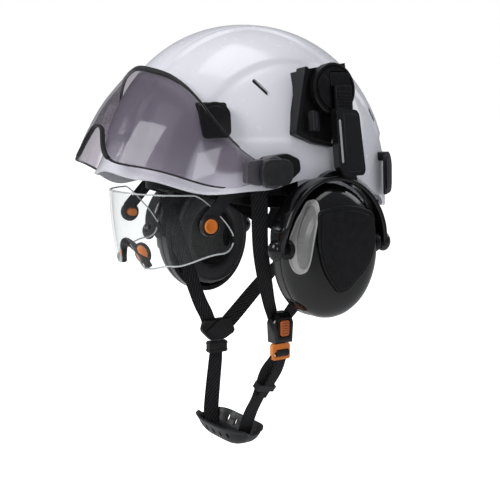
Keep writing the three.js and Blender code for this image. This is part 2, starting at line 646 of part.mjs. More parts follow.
function makeDivider() {
  const { y, z, hinge } = DIVIDER;
  const outline = new THREE.Shape();
  outline.moveTo(y - 16, hinge - 2.5).lineTo(y + 18, hinge - 2.5).lineTo(y + 20, z - 2).lineTo(y + 9, z - 9);
  outline.lineTo(y + 10.3, z - 10).lineTo(y + 10.3, z - 22).lineTo(y - 10.3, z - 22).lineTo(y - 10.3, z - 10);
  outline.lineTo(y - 18, z + 3);
  return plateX(outline, DIVIDER.x - 4, DIVIDER.x + 4, 0.9);
}

function addBuckle() {
  const { x, y, z, width, height, thick } = SOCKET;
  const shape = new THREE.Shape();
  const [top, low, half] = [z + height / 2, z - height / 2, width / 2];
  shape.moveTo(y - half + 4, top).lineTo(y + half - 4, top).lineTo(y + half, top - 9).lineTo(y + half - 1, low);
  shape.lineTo(y - half + 1, low).lineTo(y - half, top - 9);
  const body = plateX(shape, x - thick / 2, x + thick / 2, 1.2);
  const mouth = box([x - 4, y - 8.4, low - 5], [x + 3, y + 8.4, low + 11]);
  const window = box([x + 3.6, y - 5.2, z - 7.6], [x + thick, y + 5.2, z + 7.6]);
  addPart('buckle_socket', body.subtract(mouth).subtract(window), 'black');
  const button = plateX(roundRect(y, z, 9.4, 14.2, 2.5), x + 5.6, x + thick / 2 + 1.2, 0.6, 3);
  addPart('release_button', button, 'orange');
  const tongue = plateX(roundRect(y, low + 0.5, 15, 17, 1.5), x - 1.6, x + 1.6, 0, 2);
  const frame = plateX(roundRect(y, low - 8.5, 18.5, 14.5, 2), x - 2.4, x + 2.4, 0, 2);
  const slot = box([x - 5, y - 7.2, low - 13], [x + 5, y + 7.2, low - 8.5]);
  addPart('buckle_tongue', tongue.add(frame).subtract(slot), 'orange');
}

function addLowerStraps() {
  addPart('lower_strap_right', webbing([
    [-58, 2, -173.6, 0], [-57.6, 1, -178, 0], [-46, -12, -206, 4], [-36, -17, -223, 6],
  ], { steps: 6 }), 'web');
  const left = [[67, -7.6, -153.2, 0], [65.4, -8.4, -158, 0], [49, -17, -188, -4], [35, -20, -223, -6]];
  const doubled = WEB.thick * 2;
  addPart('lower_strap_left', webbing(left, { thick: doubled, steps: 8 }), 'web');
  const grip = { steps: 1, from: 0.52, to: 0.62 };
  const way = { steps: 1, from: 0.42, to: 0.72, width: WEB.width + 1.6, thick: doubled + 1.6 };
  const ring = webbing(left, { ...grip, width: WEB.width + 5, thick: doubled + 4.6 });
  addPart('strap_keeper', ring.subtract(webbing(left, way)), 'black');
}

// The chin cup is a shallow trough hung between the lower straps, its long edges turned out as lips.
function makeChinCup() {
  const { halfLength, halfWidth, wall, ends, bottom } = CHIN;
  const trough = slab((u, v, w) => {
    const along = 2 * u - 1;
    const across = 2 * v - 1;
    const x = halfLength * along;
    const floor = lerp(bottom, ends - 2, Math.abs(along) ** 2.6);
    const width = halfWidth * (1 - 0.45 * along ** 4);
    const rise = CHIN.rise * Math.abs(across) ** 2.2 * (1 - 0.8 * Math.abs(along) ** 3);
    return vec(x, CHIN.y + width * across, floor + rise + (w ? wall : 0));
  }, 12, 6);
  const holes = [-13, 13].map((x) => rod('y', CHIN.y - 30, CHIN.y + 30, 2.6, [x, bottom + 13], 10));
  return holes.reduce((left, hole) => left.subtract(hole), trough);
}

// ---------------------------------------------------------------- assembly

addPart('shell', makeShell(), 'white');
addPart('foam_liner', makeLiner(), 'foam');
addLampClips();
addPart('visor_lens', makeVisorLens(), 'smoke');
addPart('visor_seal', makeVisorSeal(), 'rubber');
addVisorHubs();
addEyeShield();
addPart('nose_piece', makeNosePiece(), 'rubber');
addPart('nose_pad_left', nosePad(1), 'orange');
addPart('nose_pad_right', nosePad(-1), 'orange');
addPart('headband', makeHeadband(), 'black');
addPart('brow_pad', makeBrowPad(), 'pad');
addPart('nape_band', makeNapeBand(), 'black');
addPart('nape_pad', makeNapePad(), 'pad');
addNapeFit();
addEarDefenders();
addUpperStraps();
addPart('strap_divider', makeDivider(), 'black');
addBuckle();
addLowerStraps();
addPart('chin_cup', makeChinCup(), 'grey');

export default group;
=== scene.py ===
"""The looks of an arborist helmet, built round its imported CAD. Metres, +Z up, the wearer looks along -Y."""

import math

import bmesh
import bpy
from mathutils import Matrix, Vector


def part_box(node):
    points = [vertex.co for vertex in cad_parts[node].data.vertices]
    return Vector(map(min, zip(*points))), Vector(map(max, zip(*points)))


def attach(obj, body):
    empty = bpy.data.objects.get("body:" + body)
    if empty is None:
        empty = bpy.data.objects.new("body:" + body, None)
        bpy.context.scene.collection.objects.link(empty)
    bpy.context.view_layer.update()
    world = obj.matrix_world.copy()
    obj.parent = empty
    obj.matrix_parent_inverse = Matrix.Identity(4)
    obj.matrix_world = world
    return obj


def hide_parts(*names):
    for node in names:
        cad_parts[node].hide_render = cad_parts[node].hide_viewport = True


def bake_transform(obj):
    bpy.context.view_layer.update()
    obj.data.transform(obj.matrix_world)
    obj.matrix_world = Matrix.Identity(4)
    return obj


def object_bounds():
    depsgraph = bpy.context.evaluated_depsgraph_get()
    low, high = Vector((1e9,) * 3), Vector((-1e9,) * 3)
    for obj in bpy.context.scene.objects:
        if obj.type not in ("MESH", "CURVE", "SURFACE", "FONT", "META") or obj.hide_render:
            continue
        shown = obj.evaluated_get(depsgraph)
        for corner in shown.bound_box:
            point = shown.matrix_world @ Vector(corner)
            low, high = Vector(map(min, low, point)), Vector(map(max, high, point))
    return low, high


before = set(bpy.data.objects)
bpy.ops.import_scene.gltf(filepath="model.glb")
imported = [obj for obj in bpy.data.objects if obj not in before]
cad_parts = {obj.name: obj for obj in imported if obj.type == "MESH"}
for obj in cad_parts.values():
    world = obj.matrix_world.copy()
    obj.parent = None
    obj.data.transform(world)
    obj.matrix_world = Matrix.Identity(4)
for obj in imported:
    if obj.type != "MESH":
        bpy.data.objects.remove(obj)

CAD_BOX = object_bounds()
SCENE = bpy.context.scene
MM = 0.001
GAP = 0.3

# ---------------------------------------------------------------- driving dimensions, in millimetres

DOME = {"half": 106, "front": 138, "rear": 142, "height": 143, "round": 0.96}
SHELL = {"wall": 3, "brim": 7, "nape": 3, "flare": 24}
LINER = {"gap": 1.5, "thick": 13, "channel": 2.5}
RIM = [(0, 18), (25, 12), (52, 0), (70, 2.5), (88, 11), (108, 11), (130, -8), (155, -22), (180, -25)]
VISOR = {"y": -37.3, "z": 18.8, "half": 105.9, "radius": 126, "keel": 2.2, "wall": 2.2}
HUB = {"y": -43.5, "z": 18, "reach": 104, "plate": 107.9, "face": 117.5}
LENS = {"half": 71, "y": -57, "depth": 71, "power": 2.4, "wall": 2, "top": -2, "bottom": -66}
BUTTON = {"y": -83, "z": -27, "from": 75.5}
HEADBAND = {"half": 68.4, "length": 94, "y": -2, "wall": 1.6}
NAPE = {"half": 64.6, "length": 90, "y": -2, "wall": 1.8}
RATCHET = {"y": 92, "z": -38, "depth": 13}
MUFF = {"x": 106, "y": 20, "z": 86, "tilt": math.radians(6.5), "drop": 6}
CUP = {"x": 94, "y": 14, "z": -51, "half": 47, "height": 58, "depth": 35, "wall": 3}
YOKE = {"x": 106.4, "width": 13, "y": 14, "z": -46, "half": 57.5, "height": 59.5, "thick": 4.5}
WEB = {"width": 15, "thick": 1.6}
DIVIDER = {"x": -58, "y": 3, "z": -149.5, "hinge": -134.5}
SOCKET = {"x": 68, "y": -7.3, "z": -122, "low": -135.5}
CHIN = {"y": -19, "length": 42, "half": 19, "rise": 16.5, "ends": -226, "bottom": -239.5, "wall": 2,
        "hole": -231}

# The over-visor's outline: how it curls in, its crease, its top and low edges and its nose notch.
CURL = {"span": 40, "first": 0.228, "second": 0.101}
CREASE = {"deep": 0.42, "half": 2.2, "low": 40, "high": 31}
TOP_EDGE = {"middle": 50.3, "dip": 1.6, "dip_half": 50, "drop": 25, "reach": 105}
LOW_EDGE = {"middle": 2.2, "drop": 21.2, "reach": 102, "notch": 16, "notch_half": 19}
CLEAR = {"from": 85, "to": 87.5, "height": 20.4, "slope": 2.2, "bend": 96, "share": 0.8}

# The eye shield's outline, by degrees round the face.
SHIELD = {"drop_from": 64, "drop": 30, "end": 0.17, "notch": 21, "notch_half": 17}
ARCH = [(-25, -114, -65), (-18, -117.5, -55), (-9, -121.4, -47.5), (0, -123.4, -44.5), (9, -121.4, -47.5),
        (18, -117.5, -55), (25, -114, -65)]
NOSE_PAD = {"x": 18.5, "y": -117.5, "z": -53.5, "toe": 35, "lean": 25}

# Headlamp clips and vent slots on the shell's side: y, z, then width and height, or lean and length.
CLIPS = {"lamp_clip_front": (-81, 60.5, 21, 31), "lamp_clip_rear": (101, 12, 20, 40)}
VENTS = [(-35, 87, 38, 16), (96, 64, 30, 14)]

# Webbing: its stops are x, y, z and the angle of its width.
UPPER_STRAPS = {
    "front_strap_left": [(88, -44, 12, 20), (87, -42, -10, 14), (83, -38, -50, 4), (70, -22, -92, -14),
                         (64.5, -13, -112, -24)],
    "front_strap_right": [(-88, -43, 12, -20), (-86, -39, -12, -14), (-75, -32, -52, 0),
                          (-63.5, -16, -112, 6), (-60.2, -8.5, -131, 6), (-58, -5, -142, 6)],
    "rear_strap_left": [(46, 113, -16, 60), (50, 106, -40, 55), (58, 80, -72, 40), (68, 40, -86, 15),
                        (71, 12, -99, 0), (68.5, -2, -114, -10)],
    "rear_strap_right": [(-46, 113, -16, -60), (-49, 107, -45, -50), (-54, 88, -76, -25), (-56, 56, -104, 4),
                         (-57, 22, -136, 16), (-58, 12, -145, 8)],
}
LOWER_STRAPS = {
    "lower_strap_right": [(-58, 2, -171, 0), (-57, 0.8, -178, 2), (-46, -9.4, -206, 10),
                          (-36.5, -17, -224, 12), (-33, -19, -233, 12)],
    "lower_strap_left": [(67, -11, -149, 0), (58.6, -15.4, -163, 0), (49.2, -17.4, -187, -2),
                         (41, -20.6, -204, 0), (32, -21.6, -224, 0), (28, -21.6, -234, 0)],
}
TAIL = {"stops": [(69, -7.4, -151, 0), (65, -9.3, -164, -4), (56.1, -14, -180.5, -4),
                  (51.4, -16.4, -189, -4)],
        "width": 12}
KEEPER = {"along": (0.473, 0.2439, 0.8466), "short": 0.45}

# The studio, in metres: lights are a name, a place, a size and a power.
LIGHTS = [("key", (0.1, -1.4, 0.9), 0.8, 10.6), ("side", (1.5, -0.6, 0.5), 0.45, 2.6),
          ("top", (0.2, 0.1, 1.6), 1.0, 8.0), ("rear", (0.3, 1.5, 0.9), 0.8, 4.0),
          ("window", (-1.1, -1.0, 0.5), 0.36, 3.0)]
WHITE, ROOM_GREY = (1.0, 1.0, 1.0, 1.0), (0.22, 0.225, 0.24, 1)
FLOOR = {"half": 30.0, "below": 0.1}
CAMERA = {"azimuth": 57, "elevation": 7.8, "distance": 0.95, "target": (0, 0.005, -0.062), "lens": 72.7,
          "sensor": 36}


def lerp(a, b, t):
    return a + (b - a) * t


def smooth(value, low, high):
    t = min(1.0, max(0.0, (value - low) / (high - low)))
    return t * t * (3 - 2 * t)


def table_at(table, value):
    for (start, low), (end, high) in zip(table, table[1:]):
        if value <= end:
            return lerp(low, high, smooth(value, start, end))
    return table[-1][1]


# ---------------------------------------------------------------- shader nodes


class Nodes:
    """A short way to write a node tree: each call adds one node and gives back its output."""

    def __init__(self, name):
        self.material = bpy.data.materials.new(name)
        self.material.use_nodes = True
        self.tree = self.material.node_tree
        self.tree.nodes.clear()
        self.out = self.tree.nodes.new("ShaderNodeOutputMaterial")

    def add(self, kind, output=0, settings=(), **inputs):
        node = self.tree.nodes.new("ShaderNode" + kind)
        for key, value in dict(settings).items():
            setattr(node, key, value)
        for key, value in inputs.items():
            at = int(key[1:]) if key[0] == "i" and key[1:].isdigit() else key.replace("_", " ")
            self.plug(node.inputs[at], value)
        return node.outputs[output]

    def plug(self, socket, value):
        if isinstance(value, bpy.types.NodeSocket):
            self.tree.links.new(value, socket)
        else:
            socket.default_value = value

    def math(self, operation, a, b=0.0, clamp=False):
        return self.add("Math", settings={"operation": operation, "use_clamp": clamp}, i0=a, i1=b)

    def place(self):
        return self.add("TexCoord", output="Object")

    def noise(self, scale, detail=3.0, where=None):
        return self.add("TexNoise", Vector=where or self.place(), Scale=scale, Detail=detail)

    def spread(self, value, low, high, start=0.3, end=0.7):
        return self.add("MapRange", Value=value, From_Min=start, From_Max=end, To_Min=low, To_Max=high)

    def mix(self, share, a, b):
        node = self.tree.nodes.new("ShaderNodeMix")
        node.data_type = "RGBA"
        self.plug(node.inputs[0], share)
        self.plug(node.inputs[6], a)
        self.plug(node.inputs[7], b)
        return node.outputs[2]

    def bump(self, height, strength, distance, under=None):
        extra = {"Normal": under} if under else {}
        return self.add("Bump", Height=height, Strength=strength, Distance=distance, **extra)

    def edges(self, low=0.51, high=0.6):
        """Near 1 along convex edges, where handling polishes and pales a moulding."""
        return self.spread(self.add("NewGeometry", output="Pointiness"), 0.0, 1.0, low, high)

    def surface(self, shader):
        self.tree.links.new(shader, self.out.inputs["Surface"])
        return self.material


def shade(color):
    return (*color, 1.0)


def plastic(name, color, worn, rough, grain=(900.0, 0.06), coat=0.0, blotch=18.0, specular=0.5):
    """Moulded plastic: mould grain, slow colour and gloss changes, and paler rubbed edges."""
    n = Nodes(name)
    cloud = n.noise(blotch, 4.0)
    fine = n.noise(grain[0], 2.0)
    scuff = n.noise(150.0, 6.0)
    rubbed = n.math("MULTIPLY", n.edges(), n.spread(scuff, 0.15, 0.8))
    base = n.mix(n.spread(cloud, 0.0, 1.0), shade(color), shade([c * 1.25 + 0.002 for c in color]))
    base = n.mix(rubbed, base, shade(worn))
    roughness = n.math("ADD", n.spread(scuff, rough - 0.05, rough + 0.07), n.math("MULTIPLY", rubbed, 0.08))
    normal = n.bump(fine, grain[1], 0.0003)
    normal = n.bump(cloud, 0.12, 0.0006, normal)
    return n.surface(n.add("BsdfPrincipled", Base_Color=base, Roughness=roughness, Normal=normal,
                           Coat_Weight=coat, Coat_Roughness=0.08, Specular_IOR_Level=specular))


def see_through(name, tint, deep, gloss, streak, fade=None, mirror=1.0):
    """A polished clear sheet. Light passes straight through, tinted, and its faces mirror the room.

    fade names a vertex attribute: at 1 the tint is deep, and at 0 the sheet is nearly clear."""
    n = Nodes(name)
    share = n.add("Attribute", output="Fac", settings={"attribute_name": fade}) if fade else 1.0
    haze = n.noise(9.0, 3.0)
    color = n.mix(share, shade(tint), shade(deep))
    color = n.mix(n.spread(haze, 0.0, streak), color, shade([c * 0.9 for c in deep]))
    clear = n.add("BsdfTransparent", Color=color)
    ripple = n.bump(n.noise(22.0, 2.0), 0.05, 0.0005)
    wipe = n.noise(240.0, 5.0)
    face = n.add("BsdfPrincipled", Base_Color=shade(gloss), Metallic=1.0, Roughness=n.spread(wipe, 0.03, 0.1),
                 Normal=ripple)
    fresnel = n.add("Fresnel", IOR=1.5, Normal=ripple)
    outside = n.math("SUBTRACT", 1.0, n.add("NewGeometry", output="Backfacing"))
    glare = n.math("ADD", n.math("MULTIPLY", fresnel, mirror), n.spread(wipe, 0.0, 0.015), clamp=True)
    glare = n.math("MULTIPLY", glare, outside)
    return n.surface(n.add("MixShader", i0=glare, i1=clear, i2=face))


def cut_edge(name, color, rough=0.25):
    """The sawn edge of a clear sheet, drawn as an opaque colour. A pale colour here is painted light: it
    stands in for the light the edge gathers, which shows as a pale line.
    """
    n = Nodes(name)
    grit = n.noise(500.0, 4.0)
    base = n.mix(n.spread(grit, 0.0, 1.0), shade(color), shade([c * 0.7 for c in color]))
    return n.surface(n.add("BsdfPrincipled", Base_Color=base, Roughness=n.spread(grit, rough, rough + 0.2),
                           Normal=n.bump(grit, 0.15, 0.0002)))


def rubber(name, color):
    n = Nodes(name)
    dust = n.noise(60.0, 6.0)
    skin = n.noise(1400.0, 2.0)
    base = n.mix(n.spread(dust, 0.0, 0.6, 0.5, 0.8), shade(color), shade([c * 2 + 0.008 for c in color]))
    normal = n.bump(skin, 0.18, 0.0003, n.bump(dust, 0.1, 0.0005))
    return n.surface(n.add("BsdfPrincipled", Base_Color=base, Roughness=n.spread(dust, 0.55, 0.8),
                           Normal=normal, Sheen_Weight=0.05, Sheen_Roughness=0.5))


def twill(name, color, pale):
    """Woven strap with diagonal ribs. Its UV runs 0 to 1 across and in strap widths along. The ribs' crests
    are painted paler: partly the weave's pattern, partly a painted highlight on the crests.
    """
    n = Nodes(name)
    parts = n.add("SeparateXYZ", Vector=n.add("UVMap", settings={"uv_map": "weave"}))
    node = parts.node
    across, along = node.outputs[0], node.outputs[1]
    slant = n.math("ADD", n.math("MULTIPLY", across, 5.0), n.math("MULTIPLY", along, 3.0))
    ribs = n.math("SINE", n.math("MULTIPLY", slant, 2 * math.pi))
    warp = n.math("ABSOLUTE", n.math("SINE", n.math("MULTIPLY", across, 22 * math.pi)))
    weft = n.math("ABSOLUTE", n.math("SINE", n.math("MULTIPLY", along, 34 * math.pi)))
    thread = n.math("ADD", n.math("MULTIPLY", warp, 0.25), n.math("MULTIPLY", weft, 0.2))
    weave = n.math("ADD", n.math("MULTIPLY", ribs, 0.6), thread)
    hem = n.math("GREATER_THAN", n.math("ABSOLUTE", n.math("SUBTRACT", across, 0.5)), 0.42)
    fuzz = n.noise(1800.0, 3.0)
    # The crests are painted paler: partly the weave's pattern, partly a painted highlight on them.
    painted_crest_highlight = n.math("MULTIPLY", n.spread(weave, 0.0, 1.0, -0.3, 0.9), n.spread(fuzz, 0.5, 1.0))
    base = n.mix(painted_crest_highlight, shade(color), shade(pale))
    base = n.mix(n.math("MULTIPLY", hem, 0.5), base, shade(color))
    normal = n.bump(weave, 0.8, 0.0009, n.bump(fuzz, 0.3, 0.0004))
    return n.surface(n.add("BsdfPrincipled", Base_Color=base, Roughness=0.75, Normal=normal,
                           Specular_IOR_Level=0.25, Sheen_Weight=0.02, Sheen_Roughness=0.4))


def knit(name, color, pale, scale, rough=0.9, creases=0.3):
    n = Nodes(name)
    cells = n.add("TexVoronoi", Vector=n.place(), Scale=scale)
    folds = n.noise(70.0, 5.0)
    tone = n.noise(28.0, 3.0)
    base = n.mix(n.spread(tone, 0.0, 1.0), shade(color), shade(pale))
    normal = n.bump(cells, 0.4, 0.0004, n.bump(folds, creases, 0.0012))
    return n.surface(n.add("BsdfPrincipled", Base_Color=base, Roughness=n.spread(folds, rough - 0.12, rough),
                           Normal=normal, Sheen_Weight=0.2, Sheen_Roughness=0.45))


def bead_foam(name, color, pale, scale):
    n = Nodes(name)
    beads = n.add("TexVoronoi", Vector=n.place(), Scale=scale)
    seams = n.spread(beads, 0.0, 1.0, 0.0, 0.55)
    tone = n.noise(40.0, 4.0)
    base = n.mix(n.math("MULTIPLY", seams, n.spread(tone, 0.4, 1.0)), shade(pale), shade(color))
    return n.surface(n.add("BsdfPrincipled", Base_Color=base, Roughness=0.9,
                           Normal=n.bump(seams, -0.5, 0.001)))


M = {
    "shell_white": plastic("shell_white", (0.80, 0.80, 0.86), (0.81, 0.81, 0.865), 0.22, (300.0, 0.015),
                           0.35, 5.0),
    "liner_foam": bead_foam("liner_foam", (0.012, 0.012, 0.013), (0.035, 0.035, 0.037), 320.0),
    "smoke_lens": see_through("smoke_lens", (0.95, 0.945, 0.96), (0.64, 0.618, 0.648), (0.8, 0.8, 0.82),
                              0.1, "tint"),
    "smoke_edge": cut_edge("smoke_edge", (0.10, 0.095, 0.11)),
    "clear_lens": see_through("clear_lens", (0.95, 0.958, 0.955), (0.95, 0.958, 0.955), (0.95, 0.96, 0.96),
                              0.03, mirror=0.8),
    # The clear edge's near-white colour is a painted highlight: it stands in for the light a clear sheet's
    # edges gather.
    "clear_edge_painted_light": cut_edge("clear_edge_painted_light", (0.86, 0.90, 0.89), 0.12),
    "soft_rubber": rubber("soft_rubber", (0.005, 0.005, 0.006)),
    "satin_black": plastic("satin_black", (0.003, 0.003, 0.0035), (0.018, 0.018, 0.02), 0.30, specular=0.26),
    "dark_grey": plastic("dark_grey", (0.012, 0.0125, 0.0135), (0.05, 0.05, 0.053), 0.36, specular=0.35),
    "orange": plastic("orange", (0.84, 0.20, 0.012), (0.95, 0.42, 0.10), 0.36, (700.0, 0.05)),
    "burnt_orange": plastic("burnt_orange", (0.50, 0.10, 0.012), (0.70, 0.24, 0.06), 0.3, (700.0, 0.05)),
    "gloss_black": plastic("gloss_black", (0.003, 0.003, 0.0035), (0.018, 0.018, 0.02), 0.13, (500.0, 0.02),
                           0.3, specular=0.35),
    "cushion_skin": knit("cushion_skin", (0.016, 0.016, 0.018), (0.032, 0.032, 0.035), 1500.0, 0.55, 0.5),
    "sweat_pad": knit("sweat_pad", (0.012, 0.012, 0.013), (0.03, 0.03, 0.032), 1100.0),
    "absorber_foam": bead_foam("absorber_foam", (0.012, 0.012, 0.012), (0.05, 0.05, 0.05), 700.0),
    "webbing": twill("webbing", (0.003, 0.003, 0.0035), (0.05, 0.05, 0.054)),
    # A pale grey for the cup panel's rim and border and the sleeve's side strip: a painted highlight along
    # these raised edges.
    "trim_grey": plastic("trim_grey", (0.38, 0.38, 0.37), (0.55, 0.55, 0.53), 0.3),
    "dark_trim": plastic("dark_trim", (0.20, 0.20, 0.195), (0.36, 0.36, 0.35), 0.25, coat=0.2),
}

# ---------------------------------------------------------------- meshes


def new_object(name, bm, angle=35):
    """An object from a bmesh in millimetres. Edges sharper than the angle stay crisp."""
    bmesh.ops.scale(bm, vec=(MM, MM, MM), verts=bm.verts)
    bm.normal_update()
    for face in bm.faces:
        face.smooth = True
    for edge in bm.edges:
        edge.smooth = len(edge.link_faces) != 2 or edge.calc_face_angle(0.0) < math.radians(angle)
    mesh = bpy.data.meshes.new(name)
    bm.to_mesh(mesh)
    bm.free()
    made = bpy.data.objects.new(name, mesh)
    SCENE.collection.objects.link(made)
    return made


def settle(piece, body, slot, nodes=(), material=None):
    """Says what a piece rides on, its finish and the CAD nodes it stands for. A blended piece has no body."""
    if not piece.data.materials:
        piece.data.materials.append(M[material or slot])
    if body:
        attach(piece, body)
    if nodes:
        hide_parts(*nodes)
    return piece


def bevel(piece, width, segments=2, angle=35):
    cut = piece.modifiers.new("bevel", "BEVEL")
    cut.width = width * MM
    cut.segments = segments
    cut.limit_method = "ANGLE"
    cut.angle_limit = math.radians(angle)
    cut.harden_normals = True
    cut.use_clamp_overlap = True
    return piece


def thicken(piece, thick, offset=-1.0, rim=0):
    wall = piece.modifiers.new("wall", "SOLIDIFY")
    wall.thickness = thick * MM
    wall.offset = offset
    wall.use_even_offset = False
    wall.material_offset_rim = rim
    return piece


def bake(piece):
    """Applies the modifiers, so that later steps work on the real mesh."""
    graph = bpy.context.evaluated_depsgraph_get()
    mesh = bpy.data.meshes.new_from_object(piece.evaluated_get(graph))
    piece.modifiers.clear()
    piece.data = mesh
    return piece


def cut_with(piece, cutters, operation="DIFFERENCE"):
    for cutter in cutters:
        step = piece.modifiers.new("cut", "BOOLEAN")
        step.operation = operation
        step.object = cutter
        step.solver = "EXACT"
    bake(piece)
    for cutter in cutters:
        bpy.data.objects.remove(cutter)
    return piece


def grid(name, point, across, along, ring=False, values=None, uv=None, angle=35):
    """A surface through point(u, v), with u and v from 0 to 1. values(u, v) fills the "tint" attribute."""
    bm = bmesh.new()
    columns = across if ring else across + 1
    rows = [[bm.verts.new(point(i / across, j / along)) for i in range(columns)] for j in range(along + 1)]
    layer = bm.loops.layers.uv.new("weave") if uv else None
    for j in range(along):
        for i in range(across):
            k = (i + 1) % columns
            face = bm.faces.new((rows[j][i], rows[j][k], rows[j + 1][k], rows[j + 1][i]))
            if uv:
                for loop, spot in zip(face.loops, ((i, j), (i + 1, j), (i + 1, j + 1), (i, j + 1))):
                    loop[layer].uv = uv(spot[0] / across, spot[1] / along)
    bmesh.ops.remove_doubles(bm, verts=bm.verts, dist=1e-4)
    made = new_object(name, bm, angle)
    if values:
        tint = made.data.attributes.new("tint", "FLOAT", "POINT")
        tint.data.foreach_set("value", [values(*(c / MM for c in v.co)) for v in made.data.vertices])
    return made


def face_out(piece, centre=None):
    bm = bmesh.new()
    bm.from_mesh(piece.data)
    bmesh.ops.recalc_face_normals(bm, faces=bm.faces)
    if centre is not None:
        turn = sum((f.calc_center_median() - Vector(centre) * MM).dot(f.normal) for f in bm.faces)
        if turn < 0:
            bmesh.ops.reverse_faces(bm, faces=bm.faces)
    bm.to_mesh(piece.data)
    bm.free()
    return piece


def rounded(corners, radius, steps=5):
    """A closed outline with its corners rounded off. A corner may give its own radius as a third number."""
    points = []
    count = len(corners)
    for i, corner in enumerate(corners):
        here = Vector(corner[:2])
        reach = corner[2] if len(corner) > 2 else radius
        before = Vector(corners[i - 1][:2]) - here
        after = Vector(corners[(i + 1) % count][:2]) - here
        reach = min(reach, before.length * 0.48, after.length * 0.48)
        a = here + before.normalized() * reach
        b = here + after.normalized() * reach
        for k in range(steps + 1):
            t = k / steps
            points.append(a * (1 - t) ** 2 + here * 2 * t * (1 - t) + b * t ** 2)
    return points


def box_outline(y, z, width, height, radius, steps=5):
    half, tall = width / 2, height / 2
    corners = [(y - half, z - tall), (y + half, z - tall), (y + half, z + tall), (y - half, z + tall)]
    return rounded(corners, radius, steps)


def circle(y, z, radius, squash=1.0, steps=48):
    turns = [2 * math.pi * i / steps for i in range(steps)]
    return [Vector((y + radius * math.cos(t), z + radius * squash * math.sin(t))) for t in turns]


def plate(name, outline, low, high, edge=0.5, holes=()):
    """A flat outline of (y, z) made solid from x = low to x = high."""
    bm = bmesh.new()
    rings = []
    for x in (low, high):
        rings.append([bm.verts.new((x, p[0], p[1])) for p in outline])
    bm.faces.new(rings[0])
    bm.faces.new(rings[1][::-1])
    for i in range(len(outline)):
        k = (i + 1) % len(outline)
        bm.faces.new((rings[0][i], rings[1][i], rings[1][k], rings[0][k]))
    bmesh.ops.recalc_face_normals(bm, faces=bm.faces)
    made = new_object(name, bm)
    if holes:
        cut_with(made, [plate("hole", h, low - 2, high + 2, 0) for h in holes])
    return bevel(made, edge) if edge else made


def turned(name, profile, centre, squash=(1.0, 1.0), steps=96, axis="x", closed=False):
    """A profile of (radius, height) turned about an axis along X or Y, stretched across it by squash."""
    bm = bmesh.new()
    rows = []
    for radius, height in profile:
        row = []
        for i in range(steps if radius > 1e-6 else 1):
            t = 2 * math.pi * i / steps
            p, q = radius * squash[0] * math.cos(t), radius * squash[1] * math.sin(t)
            place = (centre[0] + height, centre[1] + p, centre[2] + q)
            if axis == "y":
                place = (centre[0] - p, centre[1] + height, centre[2] + q)
            row.append(bm.verts.new(place))
        rows.append(row)
    pairs = list(zip(rows, rows[1:])) + ([(rows[-1], rows[0])] if closed else [])
    for a, b in pairs:
        for i in range(steps):
            k = (i + 1) % steps
            ring = [a[i % len(a)], a[k % len(a)], b[k % len(b)], b[i % len(b)]]
            unique = list(dict.fromkeys(ring))
            if len(unique) > 2:
                bm.faces.new(unique)
    bmesh.ops.recalc_face_normals(bm, faces=bm.faces)
    return new_object(name, bm)


def tube(name, points, radius, steps=14, closed=False):
    """A round bar through points, smoothed."""
    line = spline(points, 10, closed)
    bm = bmesh.new()
    rows = []
    count = len(line)
    for i, place in enumerate(line):
        ahead = line[(i + 1) % count] if closed or i + 1 < count else place
        behind = line[i - 1] if closed or i else place
        along = (ahead - behind).normalized()
        side = along.cross(Vector((0.31, 0.17, 0.93))).normalized()
        up = side.cross(along)
        turns = [2 * math.pi * k / steps for k in range(steps)]
        rows.append([bm.verts.new(place + radius * (side * math.cos(t) + up * math.sin(t))) for t in turns])
    for i in range(count if closed else count - 1):
        a, b = rows[i], rows[(i + 1) % count]
        for k in range(steps):
            m = (k + 1) % steps
            bm.faces.new((a[k], a[m], b[m], b[k]))
    if not closed:
        bm.faces.new(rows[0][::-1])
        bm.faces.new(rows[-1])
    bmesh.ops.recalc_face_normals(bm, faces=bm.faces)
    return new_object(name, bm)


def spline(points, per=12, closed=False):
    """Points along a Catmull-Rom line through the given ones. Works for any number of coordinates."""
    knots = [Vector(p) for p in points]
    count = len(knots)
    line = []
    spans = count if closed else count - 1
    for i in range(spans):
        if closed:
            a, b, c, d = (knots[(i + k) % count] for k in (-1, 0, 1, 2))
        else:
            b, c = knots[i], knots[i + 1]
            a = knots[i - 1] if i else b * 2 - c
            d = knots[i + 2] if i + 2 < count else c * 2 - b
        for k in range(per):
            t = k / per
            line.append(0.5 * (2 * b + (c - a) * t + (2 * a - 5 * b + 4 * c - d) * t * t
                               + (3 * b - a - 3 * c + d) * t ** 3))
    return line if closed else line + [knots[-1]]


